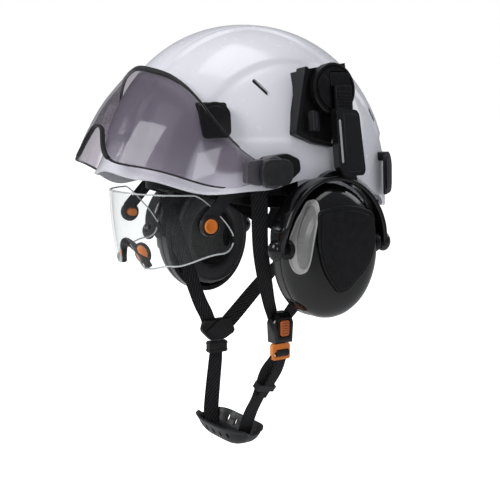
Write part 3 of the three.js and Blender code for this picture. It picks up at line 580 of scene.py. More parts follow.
def webbing(name, stops, width=WEB["width"], thick=WEB["thick"], per=14):
    """Flat webbing through stops of (x, y, z, angle): the angle turns its width from +Y towards +X."""
    line = spline(stops, per)
    section = [(-0.5, 0.0), (-0.485, 0.3), (-0.45, 0.5), (-0.2, 0.46), (0, 0.45), (0.2, 0.46), (0.45, 0.5),
               (0.485, 0.3), (0.5, 0.0), (0.485, -0.3), (0.45, -0.5), (0, -0.45), (-0.45, -0.5),
               (-0.485, -0.3)]
    bm = bmesh.new()
    layer = bm.loops.layers.uv.new("weave")
    rows, lengths = [], []
    travelled = 0.0
    for i, stop in enumerate(line):
        place = Vector(stop[:3])
        ahead = Vector(line[min(i + 1, len(line) - 1)][:3])
        behind = Vector(line[max(i - 1, 0)][:3])
        along = (ahead - behind).normalized()
        angle = math.radians(stop[3])
        across = Vector((math.sin(angle), math.cos(angle), 0))
        across = (across - along * across.dot(along)).normalized()
        out = along.cross(across)
        travelled += (place - behind).length if i else 0.0
        lengths.append(travelled / width)
        rows.append([bm.verts.new(place + across * width * a + out * thick * b) for a, b in section])
    count = len(section)
    for i in range(len(rows) - 1):
        for k in range(count):
            m = (k + 1) % count
            face = bm.faces.new((rows[i][k], rows[i][m], rows[i + 1][m], rows[i + 1][k]))
            spots = ((k, i), (m, i), (m, i + 1), (k, i + 1))
            for loop, (a, b) in zip(face.loops, spots):
                loop[layer].uv = (section[a][0] + 0.5, lengths[b])
    bm.faces.new(rows[0][::-1])
    bm.faces.new(rows[-1])
    bmesh.ops.recalc_face_normals(bm, faces=bm.faces)
    return new_object(name, bm, 50)


def cad_copy(node, name, edge=0.5, angle=30, segments=2):
    """A CAD node's shape with its flat faces joined up and its edges rounded."""
    bm = bmesh.new()
    bm.from_mesh(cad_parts[node].data)
    bmesh.ops.scale(bm, vec=(1 / MM,) * 3, verts=bm.verts)
    bmesh.ops.remove_doubles(bm, verts=bm.verts, dist=0.005)
    bmesh.ops.dissolve_limit(bm, angle_limit=math.radians(2), verts=bm.verts, edges=bm.edges)
    made = new_object(name, bm, angle)
    return bevel(made, edge, segments, angle) if edge else made


def finish_cad(node, material):
    """Gives a CAD node that stays in sight its material."""
    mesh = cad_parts[node].data
    mesh.materials.clear()
    mesh.materials.append(M[material])


def mirror(piece, name, drop=(0, 0, 0)):
    """The right-hand twin of a left-hand piece, moved by drop."""
    twin = piece.copy()
    twin.name = name
    twin.data = piece.data.copy()
    bm = bmesh.new()
    bm.from_mesh(twin.data)
    bmesh.ops.transform(bm, matrix=Matrix.Translation(Vector(drop) * MM) @ Matrix.Diagonal((-1, 1, 1, 1)),
                        verts=bm.verts)
    bmesh.ops.reverse_faces(bm, faces=bm.faces)
    bm.to_mesh(twin.data)
    bm.free()
    SCENE.collection.objects.link(twin)
    return twin


def move(piece, matrix):
    piece.data.transform(matrix)
    return piece


def on_arm(piece):
    """Puts a piece made in the ear defender arm's own frame, in millimetres, where the arm is."""
    hub = Vector((MUFF["x"], MUFF["y"], MUFF["z"]))
    home = Matrix.Translation(hub * MM) @ Matrix.Rotation(-MUFF["tilt"], 4, "Y")
    return move(piece, home)


ARM_DROP = (-MUFF["drop"] * math.sin(MUFF["tilt"]), 0, -MUFF["drop"] * math.cos(MUFF["tilt"]))
DROP = (0, 0, -MUFF["drop"])


def pair(piece, stem, body, slot, nodes=(), drop=(0, 0, 0), material=None):
    """Settles a left piece and its mirrored twin. In body and nodes, {} stands for the side."""
    twin = mirror(piece, stem + "_right", drop)
    piece.name = stem + "_left"
    for made, side in ((piece, "left"), (twin, "right")):
        settle(made, body.format(side), slot, [n.format(side) for n in nodes], material)
    return piece, twin


def put(node, body, slot, edge=0.5, angle=30):
    """A rounded copy of one CAD node, which it replaces."""
    return settle(cad_copy(node, node + "_body", edge, angle), body, slot, [node])


def put_pair(stem, body, slot, edge=0.5, angle=30):
    for side in ("left", "right"):
        put(f"{stem}_{side}", body.format(side), slot, edge, angle)


# ---------------------------------------------------------------- shell, liner and lamp clips


def rim_height(turn):
    away = math.degrees(turn) % 360
    return table_at(RIM, min(away, 360 - away))


def latitude_at(start, v):
    """Latitude on the dome, from where its height is start at v = 0 to the crown at v = 1."""
    return lerp(math.asin(start / DOME["height"]), math.pi / 2, v) if v < 1 else math.pi / 2


def dome_point(turn, latitude, offset):
    spread = math.cos(latitude) ** DOME["round"]
    length = (DOME["front"] if math.cos(turn) > 0 else DOME["rear"]) + offset
    return Vector(((DOME["half"] + offset) * spread * math.sin(turn), -length * spread * math.cos(turn),
                   (DOME["height"] + offset) * math.sin(latitude)))


def relief(place):
    """The centre band stands proud of the dome and the side panels are sunk into it."""
    side = abs(place.x)
    band_half = lerp(24, 66, smooth(place.y, -20, 70))
    band = 1 - smooth(side, band_half - 2.2, band_half + 2.2)
    high = smooth(place.z, 42, 47)
    panel = smooth(side, 66, 70.5) * high * smooth(place.y, -90, -82) * (1 - smooth(place.y, 62, 70))
    ridge = math.exp(-((side - band_half + 6) / 1.1) ** 2) * high
    return 2 * band * high - 1.5 * panel - 0.5 * ridge


def shell_point(turn, v, offset=0.0):
    rim = rim_height(turn)
    latitude = latitude_at(rim, v)
    place = dome_point(turn, latitude, offset)
    place += place.normalized() * relief(dome_point(turn, latitude, 0))
    forward = math.cos(turn)
    flare = (SHELL["brim"] if forward > 0 else SHELL["nape"]) * forward ** 2
    low = max(0.0, 1 - (place.z - rim) / SHELL["flare"]) ** 2
    level = math.hypot(place.x, place.y) or 1.0
    place.x += place.x / level * flare * low
    place.y += place.y / level * flare * low
    return place


def slot_cutter(y, z, lean, length):
    outline = box_outline(0, 0, 4, length, 1.9, 6)
    made = plate("cutter", outline, 40, 120, 0)
    turn = Matrix.Rotation(math.radians(lean), 4, "X")
    return move(made, Matrix.Translation(Vector((0, y, z)) * MM) @ turn)


def build_shell():
    shell = grid("shell_outer", lambda u, v: shell_point(2 * math.pi * u, v ** 1.15), 260, 110, ring=True,
                 angle=60)
    face_out(shell, (0, 0, 40))
    thicken(shell, SHELL["wall"])
    bake(shell)
    slots = [slot_cutter(*vent) for vent in VENTS]
    cut_with(shell, slots + [mirror(s, "cutter_twin") for s in slots])
    bevel(shell, 0.9, 3, 50)
    settle(shell, "helmet", "shell_white", ["shell"])


def build_liner():
    """Black bead foam under the shell, with raised pads and channels between them."""
    outer = -SHELL["wall"] - LINER["gap"]

    def edge(turn):
        away = math.degrees(turn) % 360
        away = min(away, 360 - away)
        return lerp(lerp(86, 44, smooth(away, 58, 84)), 18, smooth(away, 90, 180))

    def inside(u, v):
        turn = 2 * math.pi * u
        ridge = math.exp(-((math.sin(4 * turn) / 0.16) ** 2))
        groove = ridge * smooth(v, 0, 0.1) * (1 - smooth(v, 0.75, 0.9))
        return dome_point(turn, latitude_at(edge(turn), v),
                          outer - LINER["thick"] + LINER["channel"] * groove)

    def outside(u, v):
        turn = 2 * math.pi * u
        return dome_point(turn, latitude_at(edge(turn), v), outer)

    def around(u, v):
        if v < 0.46:
            return inside(u, 1 - v / 0.46)
        if v > 0.54:
            return outside(u, (v - 0.54) / 0.46)
        return inside(u, 0).lerp(outside(u, 0), (v - 0.46) / 0.08)

    liner = grid("liner_pads", around, 120, 50, ring=True)
    face_out(liner)
    settle(bevel(liner, 1.2, 2, 40), "helmet", "liner_foam", ["foam_liner"])


def dome_x(y, z, offset=0.0):
    """The shell's half width at a place on its side."""
    length = (DOME["front"] if y < 0 else DOME["rear"]) + offset
    latitude = math.asin(min(0.99, z / (DOME["height"] + offset)))
    spread = math.cos(latitude) ** DOME["round"]
    sine = math.sqrt(max(0.0, 1 - (y / (length * spread)) ** 2))
    return (DOME["half"] + offset) * spread * sine


def patch(name, outline, surface, low, high, edge, segments, steps):
    """A plate over a curved side: an outline of (y, z) from surface(y, z, low) to surface(y, z, high)."""
    flat = [Vector(p) for p in outline]
    middle = sum(flat, Vector((0, 0))) / len(flat)
    count = len(flat)
    bm = bmesh.new()
    borders = []
    for lift in (low, high):
        rings = [[bm.verts.new((surface(q.x, q.y, lift), q.x, q.y))
                  for q in (middle.lerp(p, k / steps) for p in flat)] for k in range(1, steps + 1)]
        hub = bm.verts.new((surface(middle.x, middle.y, lift), middle.x, middle.y))
        for i in range(count):
            k = (i + 1) % count
            bm.faces.new((hub, rings[0][i], rings[0][k]))
            for a, b in zip(rings, rings[1:]):
                bm.faces.new((a[i], b[i], b[k], a[k]))
        borders.append(rings[-1])
    for i in range(count):
        k = (i + 1) % count
        bm.faces.new((borders[0][i], borders[1][i], borders[1][k], borders[0][k]))
    bmesh.ops.recalc_face_normals(bm, faces=bm.faces)
    return bevel(new_object(name, bm, 40), edge, segments, 40)


def skin(name, outline, low, high, edge):
    return patch(name, outline, dome_x, low, high, edge, 3, 10)


def build_clips():
    """Hooks for a headlamp's strap. Each stands off the shell, held along its top, with a doubled rim."""
    for stem, (y, z, width, height) in CLIPS.items():
        half, tall = width / 2, height / 2
        shape = rounded([(y - half - 1.5, z - tall, 4), (y + half - 3, z - tall + 2, 5),
                         (y + half, z + tall - 7, 8), (y + half - 7, z + tall, 8),
                         (y - half - 1, z + tall - 4, 6)], 5)
        face = skin(stem + "_face", shape, 7.2, 9.6, 0.9)
        pair(face, stem + "_face", "helmet", "satin_black", [stem + "_{}"])
        inner = [(lerp(y, p.x, 0.74), lerp(z, p.y, 0.78)) for p in shape]
        pair(skin(stem + "_panel", inner, 9.0, 10.3, 0.5), stem + "_panel", "helmet", "satin_black")
        foot = box_outline(y + 0.6, z + tall - 5.5, width - 4, 8, 2)
        pair(skin(stem + "_foot", foot, 0.2, 8.2, 0.6), stem + "_foot", "helmet", "satin_black")
        lip = box_outline(y - 1, z - tall + 2.5, width - 8, 3, 1)
        pair(skin(stem + "_lip", lip, 5.4, 8.0, 0.4), stem + "_lip", "helmet", "satin_black")


# ---------------------------------------------------------------- smoke over-visor


def visor_point(x, degrees, offset=0.0):
    share = degrees / CURL["span"]
    curl = 1 - CURL["first"] * share + CURL["second"] * share ** 2
    reach = VISOR["radius"] * curl * math.sqrt(max(0.0, 1 - (x / VISOR["half"]) ** 2))
    line = lerp(CREASE["low"], CREASE["high"], smooth(degrees, 43, 20))
    crease = math.exp(-((abs(x) - line) / CREASE["half"]) ** 2) * smooth(degrees, 16, 34)
    reach += VISOR["keel"] * math.exp(-((x / 16) ** 2)) + offset + CREASE["deep"] * crease
    angle = math.radians(degrees)
    return Vector((x, VISOR["y"] - reach * math.cos(angle), VISOR["z"] + reach * math.sin(angle)))


def visor_top(x):
    dip = TOP_EDGE["dip"] * math.exp(-((x / TOP_EDGE["dip_half"]) ** 2))
    return TOP_EDGE["middle"] - dip - TOP_EDGE["drop"] * (abs(x) / TOP_EDGE["reach"]) ** 5


def visor_bottom(x):
    notch = 1 / (1 + (abs(x) / LOW_EDGE["notch_half"]) ** 3.2)
    drop = LOW_EDGE["drop"] * (abs(x) / LOW_EDGE["reach"]) ** 7
    return LOW_EDGE["middle"] - drop + LOW_EDGE["notch"] * notch


def visor_tint(x, y, z):
    """Deep smoke over the face and nearly clear near the hubs, below a curved boundary."""
    angle = math.degrees(math.atan2(z - VISOR["z"], VISOR["y"] - y)) if y < VISOR["y"] else 60.0
    side = abs(x)
    bound = CLEAR["height"] - (side - 87) * CLEAR["slope"]
    if side >= CLEAR["bend"]:
        bound = -1.2 - 2 * math.sin((side - CLEAR["bend"]) / 9 * math.pi)
    window = smooth(side, CLEAR["from"], CLEAR["to"]) * smooth(bound + 2.5, angle - 3, angle + 3)
    return 1 - CLEAR["share"] * window


def build_visor():
    def sheet(u, v):
        x = HUB["reach"] * math.sin((u - 0.5) * math.pi)
        return visor_point(x, lerp(visor_bottom(x), visor_top(x), v))

    lens = grid("visor_sheet", sheet, 200, 60, values=visor_tint, angle=60)
    lens.data.materials.append(M["smoke_lens"])
    lens.data.materials.append(M["smoke_edge"])
    face_out(lens, (0, 0, 0))
    thicken(lens, VISOR["wall"], -1.0, 1)
    settle(lens, "visor", "smoke_lens", ["visor_lens"])
    at = (HUB["plate"], HUB["y"], HUB["z"])
    collar = turned("visor_collar", [(12.6, -4.5), (13.4, -3.8), (13.4, 2.2), (12.4, 3.2), (10.6, 3.4),
                                     (10.6, 2.0), (0, 2.0), (0, 0.2), (11, 0.2), (11.6, -4.5)], at)
    pair(bevel(collar, 0.4), "visor_collar", "visor", "smoke_lens", material="smoke_edge")
    corners = [(-69, 27), (-54, 29), (-52, 26), (-55, 18), (-52, 10), (-55, 7), (-69, 10)]
    web = plate("visor_web", rounded(corners, 2), 102.6, HUB["plate"] + 2.2, 0.8)
    pair(web, "visor_web", "visor", "smoke_lens", material="smoke_edge")
    build_visor_edging()


def build_visor_edging():
    """Black rubber along the top, thick in the middle, and a thin moulded edging round the rest."""
    half = 99

    def seal(u, v):
        x = half * math.sin((u - 0.5) * math.pi)
        tall = lerp(5.2, 2.2, smooth(abs(x), 20, 88))
        turn = 2 * math.pi * v
        reach, rise = 1.7 * math.cos(turn), tall / 2 * math.sin(turn)
        lift = math.degrees((rise + tall / 2) / 112)
        return visor_point(x, visor_top(x) + lift, reach - 1.0)

    trim = grid("visor_top_trim", seal, 120, 16)
    face_out(trim)
    settle(trim, "visor", "soft_rubber", ["visor_seal"])

    def edging(name, low, high, size, side_of):
        def around(u, v):
            x = lerp(low, high, u)
            turn = 2 * math.pi * v
            return visor_point(x, side_of(x) + math.degrees(size * math.sin(turn) / 120),
                               -1.1 + (size * 0.9 + 1.0) * math.cos(turn))
        piece = grid(name, around, 90, 12)
        face_out(piece)
        settle(piece, "visor", "soft_rubber")

    edging("visor_notch_edge", -30, 30, 1.5, visor_bottom)
    edging("visor_low_edge_left", 30, 99, 0.8, visor_bottom)
    edging("visor_low_edge_right", -99, -30, 0.8, visor_bottom)


def build_hubs():
    corners = [(-57, 18, 4), (-49, 30, 3), (-27, 33, 3), (-14.5, 28, 3), (-13, 18, 3), (-22, 11, 3),
               (-48, 7, 3)]
    pair(plate("visor_boss", rounded(corners, 3), 97, 106.8, 1.6), "visor_boss", "helmet", "satin_black",
         ["visor_boss_{}"])
    stadium = box_outline(0, 0, 31, 22, 10.6, 10)
    outline = [p + Vector((HUB["y"], HUB["z"])) for p in stadium]
    cap = plate("visor_cap", outline, HUB["plate"] + 3.3, HUB["face"] - 0.3, 1.3)
    pair(cap, "visor_cap", "visor", "dark_grey", ["visor_cap_{}"])
    inner = [p * 0.72 + Vector((HUB["y"], HUB["z"])) for p in stadium]
    pair(plate("visor_cap_face", inner, HUB["face"] - 1, HUB["face"] + 0.2, 0.5), "visor_cap_face", "visor",
         "dark_grey")


# ---------------------------------------------------------------- clear eye shield


def lens_point(turn, z, offset=0.0):
    below = LENS["top"] - z
    depth = LENS["depth"] + offset - 0.0018 * below ** 2
    half = LENS["half"] + offset - 0.0004 * below ** 2
    sine = math.sin(turn)
    x = half * math.copysign(abs(sine) ** (2 / LENS["power"]), sine)
    return Vector((x, LENS["y"] - depth * max(0.0, math.cos(turn)) ** (2 / LENS["power"]), z))


def build_eye_shield():
    def round_end(degrees):
        near = max(0.0, 1 - math.cos(math.radians(degrees)) ** (2 / LENS["power"]) / SHIELD["end"])
        return 1 - math.sqrt(max(0.0, 1 - min(1.0, near) ** 2))

    def top(degrees):
        past = max(0.0, (abs(degrees) - SHIELD["drop_from"]) / (90 - SHIELD["drop_from"]))
        return LENS["top"] - SHIELD["drop"] * past ** 1.5 - 6 * round_end(degrees)

    def bottom(degrees):
        away = abs(degrees)
        rise = 4 * smooth(away, 20, 42) + 10 * smooth(away, 45, 84) + 10 * round_end(degrees)
        return LENS["bottom"] + SHIELD["notch"] * (1 - smooth(away, 3, SHIELD["notch_half"])) + rise

    def spread_out(u):
        share = 2 * u - 1
        return math.copysign(math.sin(abs(share) * math.pi / 2), share)

    def sheet(u, v):
        degrees = 90 * spread_out(u)
        return lens_point(math.radians(degrees), lerp(bottom(degrees), top(degrees), v))

    lens = grid("spectacle_sheet", sheet, 260, 40, angle=60)
    face_out(lens, (0, -60, -30))
    thicken(lens, LENS["wall"])
    bake(lens)
    holes = [plate("hole", circle(BUTTON["y"], BUTTON["z"], 3.8), 40, 90, 0)]
    cut_with(lens, holes + [mirror(holes[0], "hole_twin")])
    lens.data.materials.clear()
    lens.data.materials.append(M["clear_lens"])
    lens.data.materials.append(M["clear_edge_painted_light"])
    settle(lens, "eye_shield", "clear_lens", ["spectacle_lens"])

    def ridge(line):
        def around(u, v):
            degrees = 89.95 * spread_out(u)
            turn = 2 * math.pi * v
            return lens_point(math.radians(degrees), line(degrees) + 0.7 * math.sin(turn),
                              -1.0 + 1.15 * math.cos(turn))
        return around

    # The beads along the lens's top and bottom edges take the clear edge colour, a painted highlight.
    for name, line in (("spectacle_top_edge", top), ("spectacle_low_edge", bottom)):
        edge = grid(name, ridge(line), 260, 10)
        face_out(edge)
        settle(edge, "eye_shield", "clear_lens", material="clear_edge_painted_light")
    for side in ("left", "right"):
        put(f"spectacle_arm_{side}", "spectacle_arms", "dark_grey", 0.5)
        put(f"spectacle_bracket_{side}", "helmet", "satin_black", 0.6)
    at = (BUTTON["from"], BUTTON["y"], BUTTON["z"])
    ring = turned("arm_boss", [(6.6, -0.6), (8.7, -0.6), (8.7, 0.5), (8.2, 1.0), (7.1, 1.0), (6.6, 0.5)], at,
                  closed=True)
    pair(ring, "arm_boss", "spectacle_arms", "dark_grey")
    button = turned("spectacle_button", [(0, 1.5), (3.0, 1.6), (4.4, 2.1), (5.4, 2.1), (6.1, 1.5), (6.1, 0),
                                         (3.5, 0), (3.5, -10), (0, -10)], at)
    pair(button, "spectacle_knob", "spectacle_arms", "orange", ["spectacle_button_{}"])
    settle(tube("nose_arch", ARCH, 3.1), "eye_shield", "soft_rubber", ["nose_piece"])
    cushion = [(0, 2.6), (2.2, 2.4), (4.2, 1.7), (5.2, 0.6), (5.4, -0.6), (4.4, -1.8), (0, -2.2)]
    backing = [(0, 0.6), (6.4, 0.3), (7.4, -0.6), (7.4, -2.0), (6.4, -2.8), (0, -3.0)]
    for side, name in ((1, "left"), (-1, "right")):
        pad = turned("nose_cushion", cushion, (0, 0, 0), (1.0, 1.35))
        home = Matrix.Translation(Vector((side * NOSE_PAD["x"], NOSE_PAD["y"], NOSE_PAD["z"])) * MM)
        toe = Matrix.Rotation(math.radians(-90 + side * NOSE_PAD["toe"]), 4, "Z")
        home = home @ toe @ Matrix.Rotation(math.radians(NOSE_PAD["lean"]), 4, "X")
        settle(move(pad, home), "eye_shield", "orange", [f"nose_pad_{name}"])
        pad.name = f"nose_cushion_{name}"
        back = turned(f"nose_backing_{name}", backing, (0, 0, 0), (1.0, 1.3))
        settle(move(back, home), "eye_shield", "soft_rubber")


# ---------------------------------------------------------------- headband and nape


def band_middle(away):
    return 12 - 19 * smooth(away, 10, 90) - 31 * smooth(away, 85, 150)


def band(name, spec, start, end, half_height, steps=120, inset=0.0):
    def point(u, v):
        degrees = lerp(start, end, u)
        turn = math.radians(degrees)
        away = 360 - degrees if degrees > 180 else abs(degrees)
        rise = (v - 0.5) * 2 * half_height(away)
        return Vector(((spec["half"] + inset) * math.sin(turn),
                       spec["y"] - (spec["length"] + inset) * math.cos(turn), band_middle(away) + rise))
    return grid(name, point, steps, 8, angle=60)


def build_bands():
    head = band("headband_strap", HEADBAND, -118, 118, lambda a: lerp(12, 9, smooth(a, 20, 80)),
                inset=HEADBAND["wall"])
    face_out(head, (0, 0, 0))
    bevel(thicken(head, HEADBAND["wall"]), 0.4)
    settle(head, "helmet", "satin_black", ["headband"])
    nape = band("nape_cradle", NAPE, 100, 260, lambda a: lerp(10, 17, smooth(a, 95, 125)), inset=NAPE["wall"])
    face_out(nape, (0, 0, 0))
    thicken(nape, NAPE["wall"])
    bake(nape)
    holes = []
    for degrees in (128, 146, 214, 232):
        turn = math.radians(degrees)
        away = min(degrees, 360 - degrees)
        hole = plate("hole", circle(0, 0, 7, 1.1), -20, 20, 0)
        place = Vector((NAPE["half"] * math.sin(turn), NAPE["y"] - NAPE["length"] * math.cos(turn),
                        band_middle(away)))
        holes.append(move(hole, Matrix.Translation(place * MM) @ Matrix.Rotation(turn - math.pi / 2, 4, "Z")))
    cut_with(nape, holes)
    settle(bevel(nape, 0.5, 2, 50), "nape_cradle", "satin_black", ["nape_band"])
    put("ratchet_housing", "nape_cradle", "satin_black", 1.0)
    finish_cad("ratchet_pinion", "satin_black")
    base = RATCHET["depth"] + GAP
    grip = [(0, base), (14, base), (16.4, base + 1), (16.6, base + 8), (15.4, base + 10),
            (13.2, base + 10.6), (11.6, base + 9.6), (0, base + 9.6)]
    knob = turned("ratchet_grip", grip, (0, RATCHET["y"], RATCHET["z"]), axis="y")
    settle(bevel(knob, 0.4), "nape_ratchet", "dark_grey", ["ratchet_knob"])
    for i in range(20):
        turn = 2 * math.pi * i / 20
        rib = plate(f"knob_rib_{i}", rounded([(-1.1, -0.9), (1.1, -0.9), (0.7, 0.9), (-0.7, 0.9)], 0.4),
                    base + 1.4, base + 9.2, 0.3)
        spin = Matrix.Rotation(turn, 4, "Y") @ Matrix.Translation(Vector((0, 0, 16.5)) * MM)
        home = Matrix.Translation(Vector((0, RATCHET["y"], RATCHET["z"])) * MM)
        move(rib, home @ spin @ Matrix.Rotation(math.pi / 2, 4, "Z"))
        settle(rib, "nape_ratchet", "dark_grey")


# ---------------------------------------------------------------- padded pieces


def puff(node, name, voxel, shrink, cap, pressure=4.0, rounds=20):
    """A padded piece: its CAD solid made a little smaller and blown up, with its movement capped."""
    piece = cad_copy(node, name, 0)
    remesh = piece.modifiers.new("remesh", "REMESH")
    remesh.mode = "VOXEL"
    remesh.voxel_size = voxel * MM
    bake(piece)
    before = piece.modifiers.new("shrink", "DISPLACE")
    before.strength = -shrink * MM
    before.mid_level = 0.0
    bake(piece)
    rest = [v.co.copy() for v in piece.data.vertices]
    cloth = piece.modifiers.new("cloth", "CLOTH")
    cloth.settings.use_pressure = True
    cloth.settings.uniform_pressure_force = pressure
    cloth.settings.effector_weights.gravity = 0.0
    cloth.settings.quality = 4
    cloth.point_cache.frame_start = 1
    cloth.point_cache.frame_end = rounds
    for step in range(1, rounds + 1):
        SCENE.frame_set(step)
    bake(piece)
    SCENE.frame_set(1)
    for vertex, home in zip(piece.data.vertices, rest):
        drift = vertex.co - home
        if drift.length > cap * MM:
            vertex.co = home + drift.normalized() * cap * MM
    for polygon in piece.data.polygons:
        polygon.use_smooth = True
    relax = piece.modifiers.new("relax", "SMOOTH")
    relax.iterations = 3
    finer = piece.modifiers.new("finer", "SUBSURF")
    finer.levels = finer.render_levels = 1
    bake(piece)
    piece.data.materials.clear()
    return piece


def build_pads():
    cushion = puff("ear_cushion_left", "ear_pad_left", 3.5, 1.0, 1.6)
    pair(cushion, "ear_pad", "muff_cup_{}", "cushion_skin", ["ear_cushion_{}"], DROP)
    for node, body in (("brow_pad", "helmet"), ("nape_pad", "nape_cradle")):
        pad = puff(node, node + "_soft", 2.6, 0.6, 1.2)
        settle(pad, body, "sweat_pad", [node])
    turns = [2 * math.pi * i / 40 for i in range(40)]
    loop = [(79.8, CUP["y"] + 36.5 * math.cos(t), CUP["z"] + 45.5 * math.sin(t)) for t in turns]
    for side in ("left", "right"):
        seam = tube(f"ear_pad_seam_{side}", loop, 0.7, 8, closed=True)
        if side == "right":
            twin = mirror(seam, f"ear_pad_seam_{side}", DROP)
            bpy.data.objects.remove(seam)
            seam = twin
        settle(seam, f"muff_cup_{side}", "cushion_skin")
    for side in ("left", "right"):
        finish_cad(f"sound_absorber_{side}", "absorber_foam")


# ---------------------------------------------------------------- ear defenders


def arm_plate(stem, outline, low, high, edge, body="helmet", slot="satin_black", drop=(0, 0, 0)):
    """A pair of flat pieces drawn in the arm's own frame."""
    pair(on_arm(plate(stem, outline, low, high, edge)), stem, body, slot, drop=drop)


def build_arms():
    put_pair("muff_adaptor", "helmet", "satin_black", 0.9)
    flange = rounded([(-25.5, 19), (-22, 18), (-34.5, -34), (-39, -36)], 1)
    arm_plate("adaptor_flange", flange, -16, -3.4, 0.7)
    lip = rounded([(-38, -33), (-21, -41), (-1, -45.5), (-1, -48.5), (-22, -45), (-39, -37)], 1)
    arm_plate("adaptor_lip", lip, -14, -3.6, 0.6)
    barrel = turned("latch_barrel", [(0, -8.5), (4.6, -8.5), (5.4, -7.7), (5.4, 7.7), (4.6, 8.5), (0, 8.5)],
                    (0, 0, 0))
    move(barrel, Matrix.Translation(Vector((-3.4, -21, -27)) * MM) @ Matrix.Rotation(math.pi / 2, 4, "Y"))
    pair(on_arm(barrel), "latch_barrel", "helmet", "satin_black")
    arm_plate("latch_rib", box_outline(-21, -27, 2, 14, 0.8), 1.2, 2.4, 0.3, slot="dark_grey")
    radius = 22
    profile = [(0, -5), (radius - 0.6, -5), (radius, -4.4), (radius, 1.2), (radius - 1, 2.2),
               (radius - 2.6, 2.2), (radius - 3.0, 1.6), (radius - 4.0, 1.6), (radius - 4.4, 3.0), (0, 3.0)]
    disc = turned("muff_turntable", profile, (0, 0, 0), steps=120)
    cut_with(disc, [plate("recess", box_outline(5, -7.75, 21.6, 44.5, 3), 0.2, 6, 0)])
    pair(on_arm(bevel(disc, 0.4, 2, 40)), "muff_turntable", "muff_disc_{}", "satin_black", ["muff_disc_{}"])
    put_pair("muff_blade", "muff_arm_{}", "satin_black", 0.5)
    for i in range(7):
        arm_plate(f"blade_rib_{i}", box_outline(5, -4 - i * 2.6, 14.8, 1.4, 0.5), 7.4, 8.5, 0.3,
                  "muff_arm_{}")
    arm_plate("disc_latch", box_outline(5, 7.5, 20.4, 11.8, 2), 0.3, 3.6, 0.7, "muff_disc_{}")
    outline = rounded([(-7, -17, 3), (15, -19, 3), (17.5, -23, 3), (21, -70, 3), (18.5, -74, 2),
                       (-2, -74, 2), (-7, -66, 4)], 3)
    sleeve = plate("muff_sleeve", outline, 3.3, 11, 0)
    cut_with(sleeve, [plate("way", box_outline(5, -47.5, 19.8, 65, 1), 3.9, 8.5, 0)])
    pair(on_arm(bevel(sleeve, 1.3, 3)), "muff_slider", "muff_slide_{}", "gloss_black", ["muff_sleeve_{}"],
         ARM_DROP)
    panel = rounded([(0, -21), (13.5, -22.5), (14.8, -25), (18, -68), (15.5, -71), (2.5, -71), (0, -66)], 2)
    arm_plate("sleeve_panel", panel, 10.4, 11.6, 0.5, "muff_slide_{}", "gloss_black", ARM_DROP)
    strip = rounded([(-4.9, -27), (-2.9, -27), (-1.9, -63), (-3.9, -63)], 1)
    # The strip's pale grey is a painted highlight on the sleeve's raised side strip.
    arm_plate("sleeve_strip", strip, 10.6, 11.4, 0.3, "muff_slide_{}", "trim_grey", ARM_DROP)


def build_yoke():
    """A glossy hoop over the cup: broad at its legs, with a ball joint at each end."""
    half, tall, thick = YOKE["half"], YOKE["height"], YOKE["thick"]

    def around(u, v):
        turn = math.radians(lerp(-3, 183, u))
        corner = 2 * math.pi * (v + 0.125)
        squared = [math.copysign(abs(f(corner)) ** 0.45, f(corner)) for f in (math.cos, math.sin)]
        bulk = thick / 2 * (1 + 0.3 * abs(math.cos(turn)))
        reach = 1 - (thick / 2) / half
        broad = lerp(0.85, 0.1, smooth(math.cos(turn), -0.2, 0.2)) * abs(math.cos(turn))
        taper = 1 - 0.75 * smooth(abs(turn - math.pi / 2), 1.2, 1.6)
        across = YOKE["width"] / 2 * (1 + broad * taper)
        return Vector((YOKE["x"] + YOKE["width"] / 2 + across * squared[0],
                       YOKE["y"] + (half * reach + bulk * squared[1] * 0.9) * math.cos(turn),
                       YOKE["z"] + (tall - thick / 2 + bulk * squared[1] * 0.9) * math.sin(turn)))

    hoop = grid("yoke_hoop", around, 90, 28, angle=50)
    face_out(hoop)
    pair(hoop, "yoke_hoop", "muff_slide_{}", "gloss_black", ["muff_yoke_{}"], DROP)
    for i, sign in enumerate((-1, 1)):
        at = (YOKE["x"] + YOKE["width"] / 2, YOKE["y"] + sign * 57.2, YOKE["z"])
        ball = [(8.6 * math.sin(t), 7.2 * math.cos(t)) for t in (math.pi * k / 24 for k in range(25))]
        joint = turned("yoke_ball", [(r if 0 < k < 24 else 0, h) for k, (r, h) in enumerate(ball)], at,
                       (0.74, 1.0))
        pair(joint, f"yoke_ball_{i}", "muff_slide_{}", "gloss_black", drop=DROP)
        pin = turned("yoke_pin", [(0, -5), (3.4, -5), (3.4, 5), (0, 5)],
                     (at[0], YOKE["y"] + sign * 48.5, at[2]), axis="y", steps=32)
        pair(pin, f"yoke_pin_{i}", "muff_slide_{}", "satin_black", drop=DROP)
        socket = turned("cup_socket", [(4.1, -2), (8.2, -2), (9.0, 0.4), (8.4, 2.6), (5.2, 3.2), (4.1, 2.6)],
                        (at[0], YOKE["y"] + sign * 45.6, at[2]), axis="y", steps=48, closed=True)
        pair(socket, f"cup_socket_{i}", "muff_cup_{}", "satin_black", drop=DROP)
    saddle = rounded([(2, 10.5), (30, 9), (41, 5), (42, 9), (40, 17), (16, 17.5), (8, 15)], 2)
    pair(plate("yoke_saddle", saddle, 101.5, 112.5, 1.2), "yoke_saddle",
         "muff_slide_{}", "gloss_black", drop=DROP)


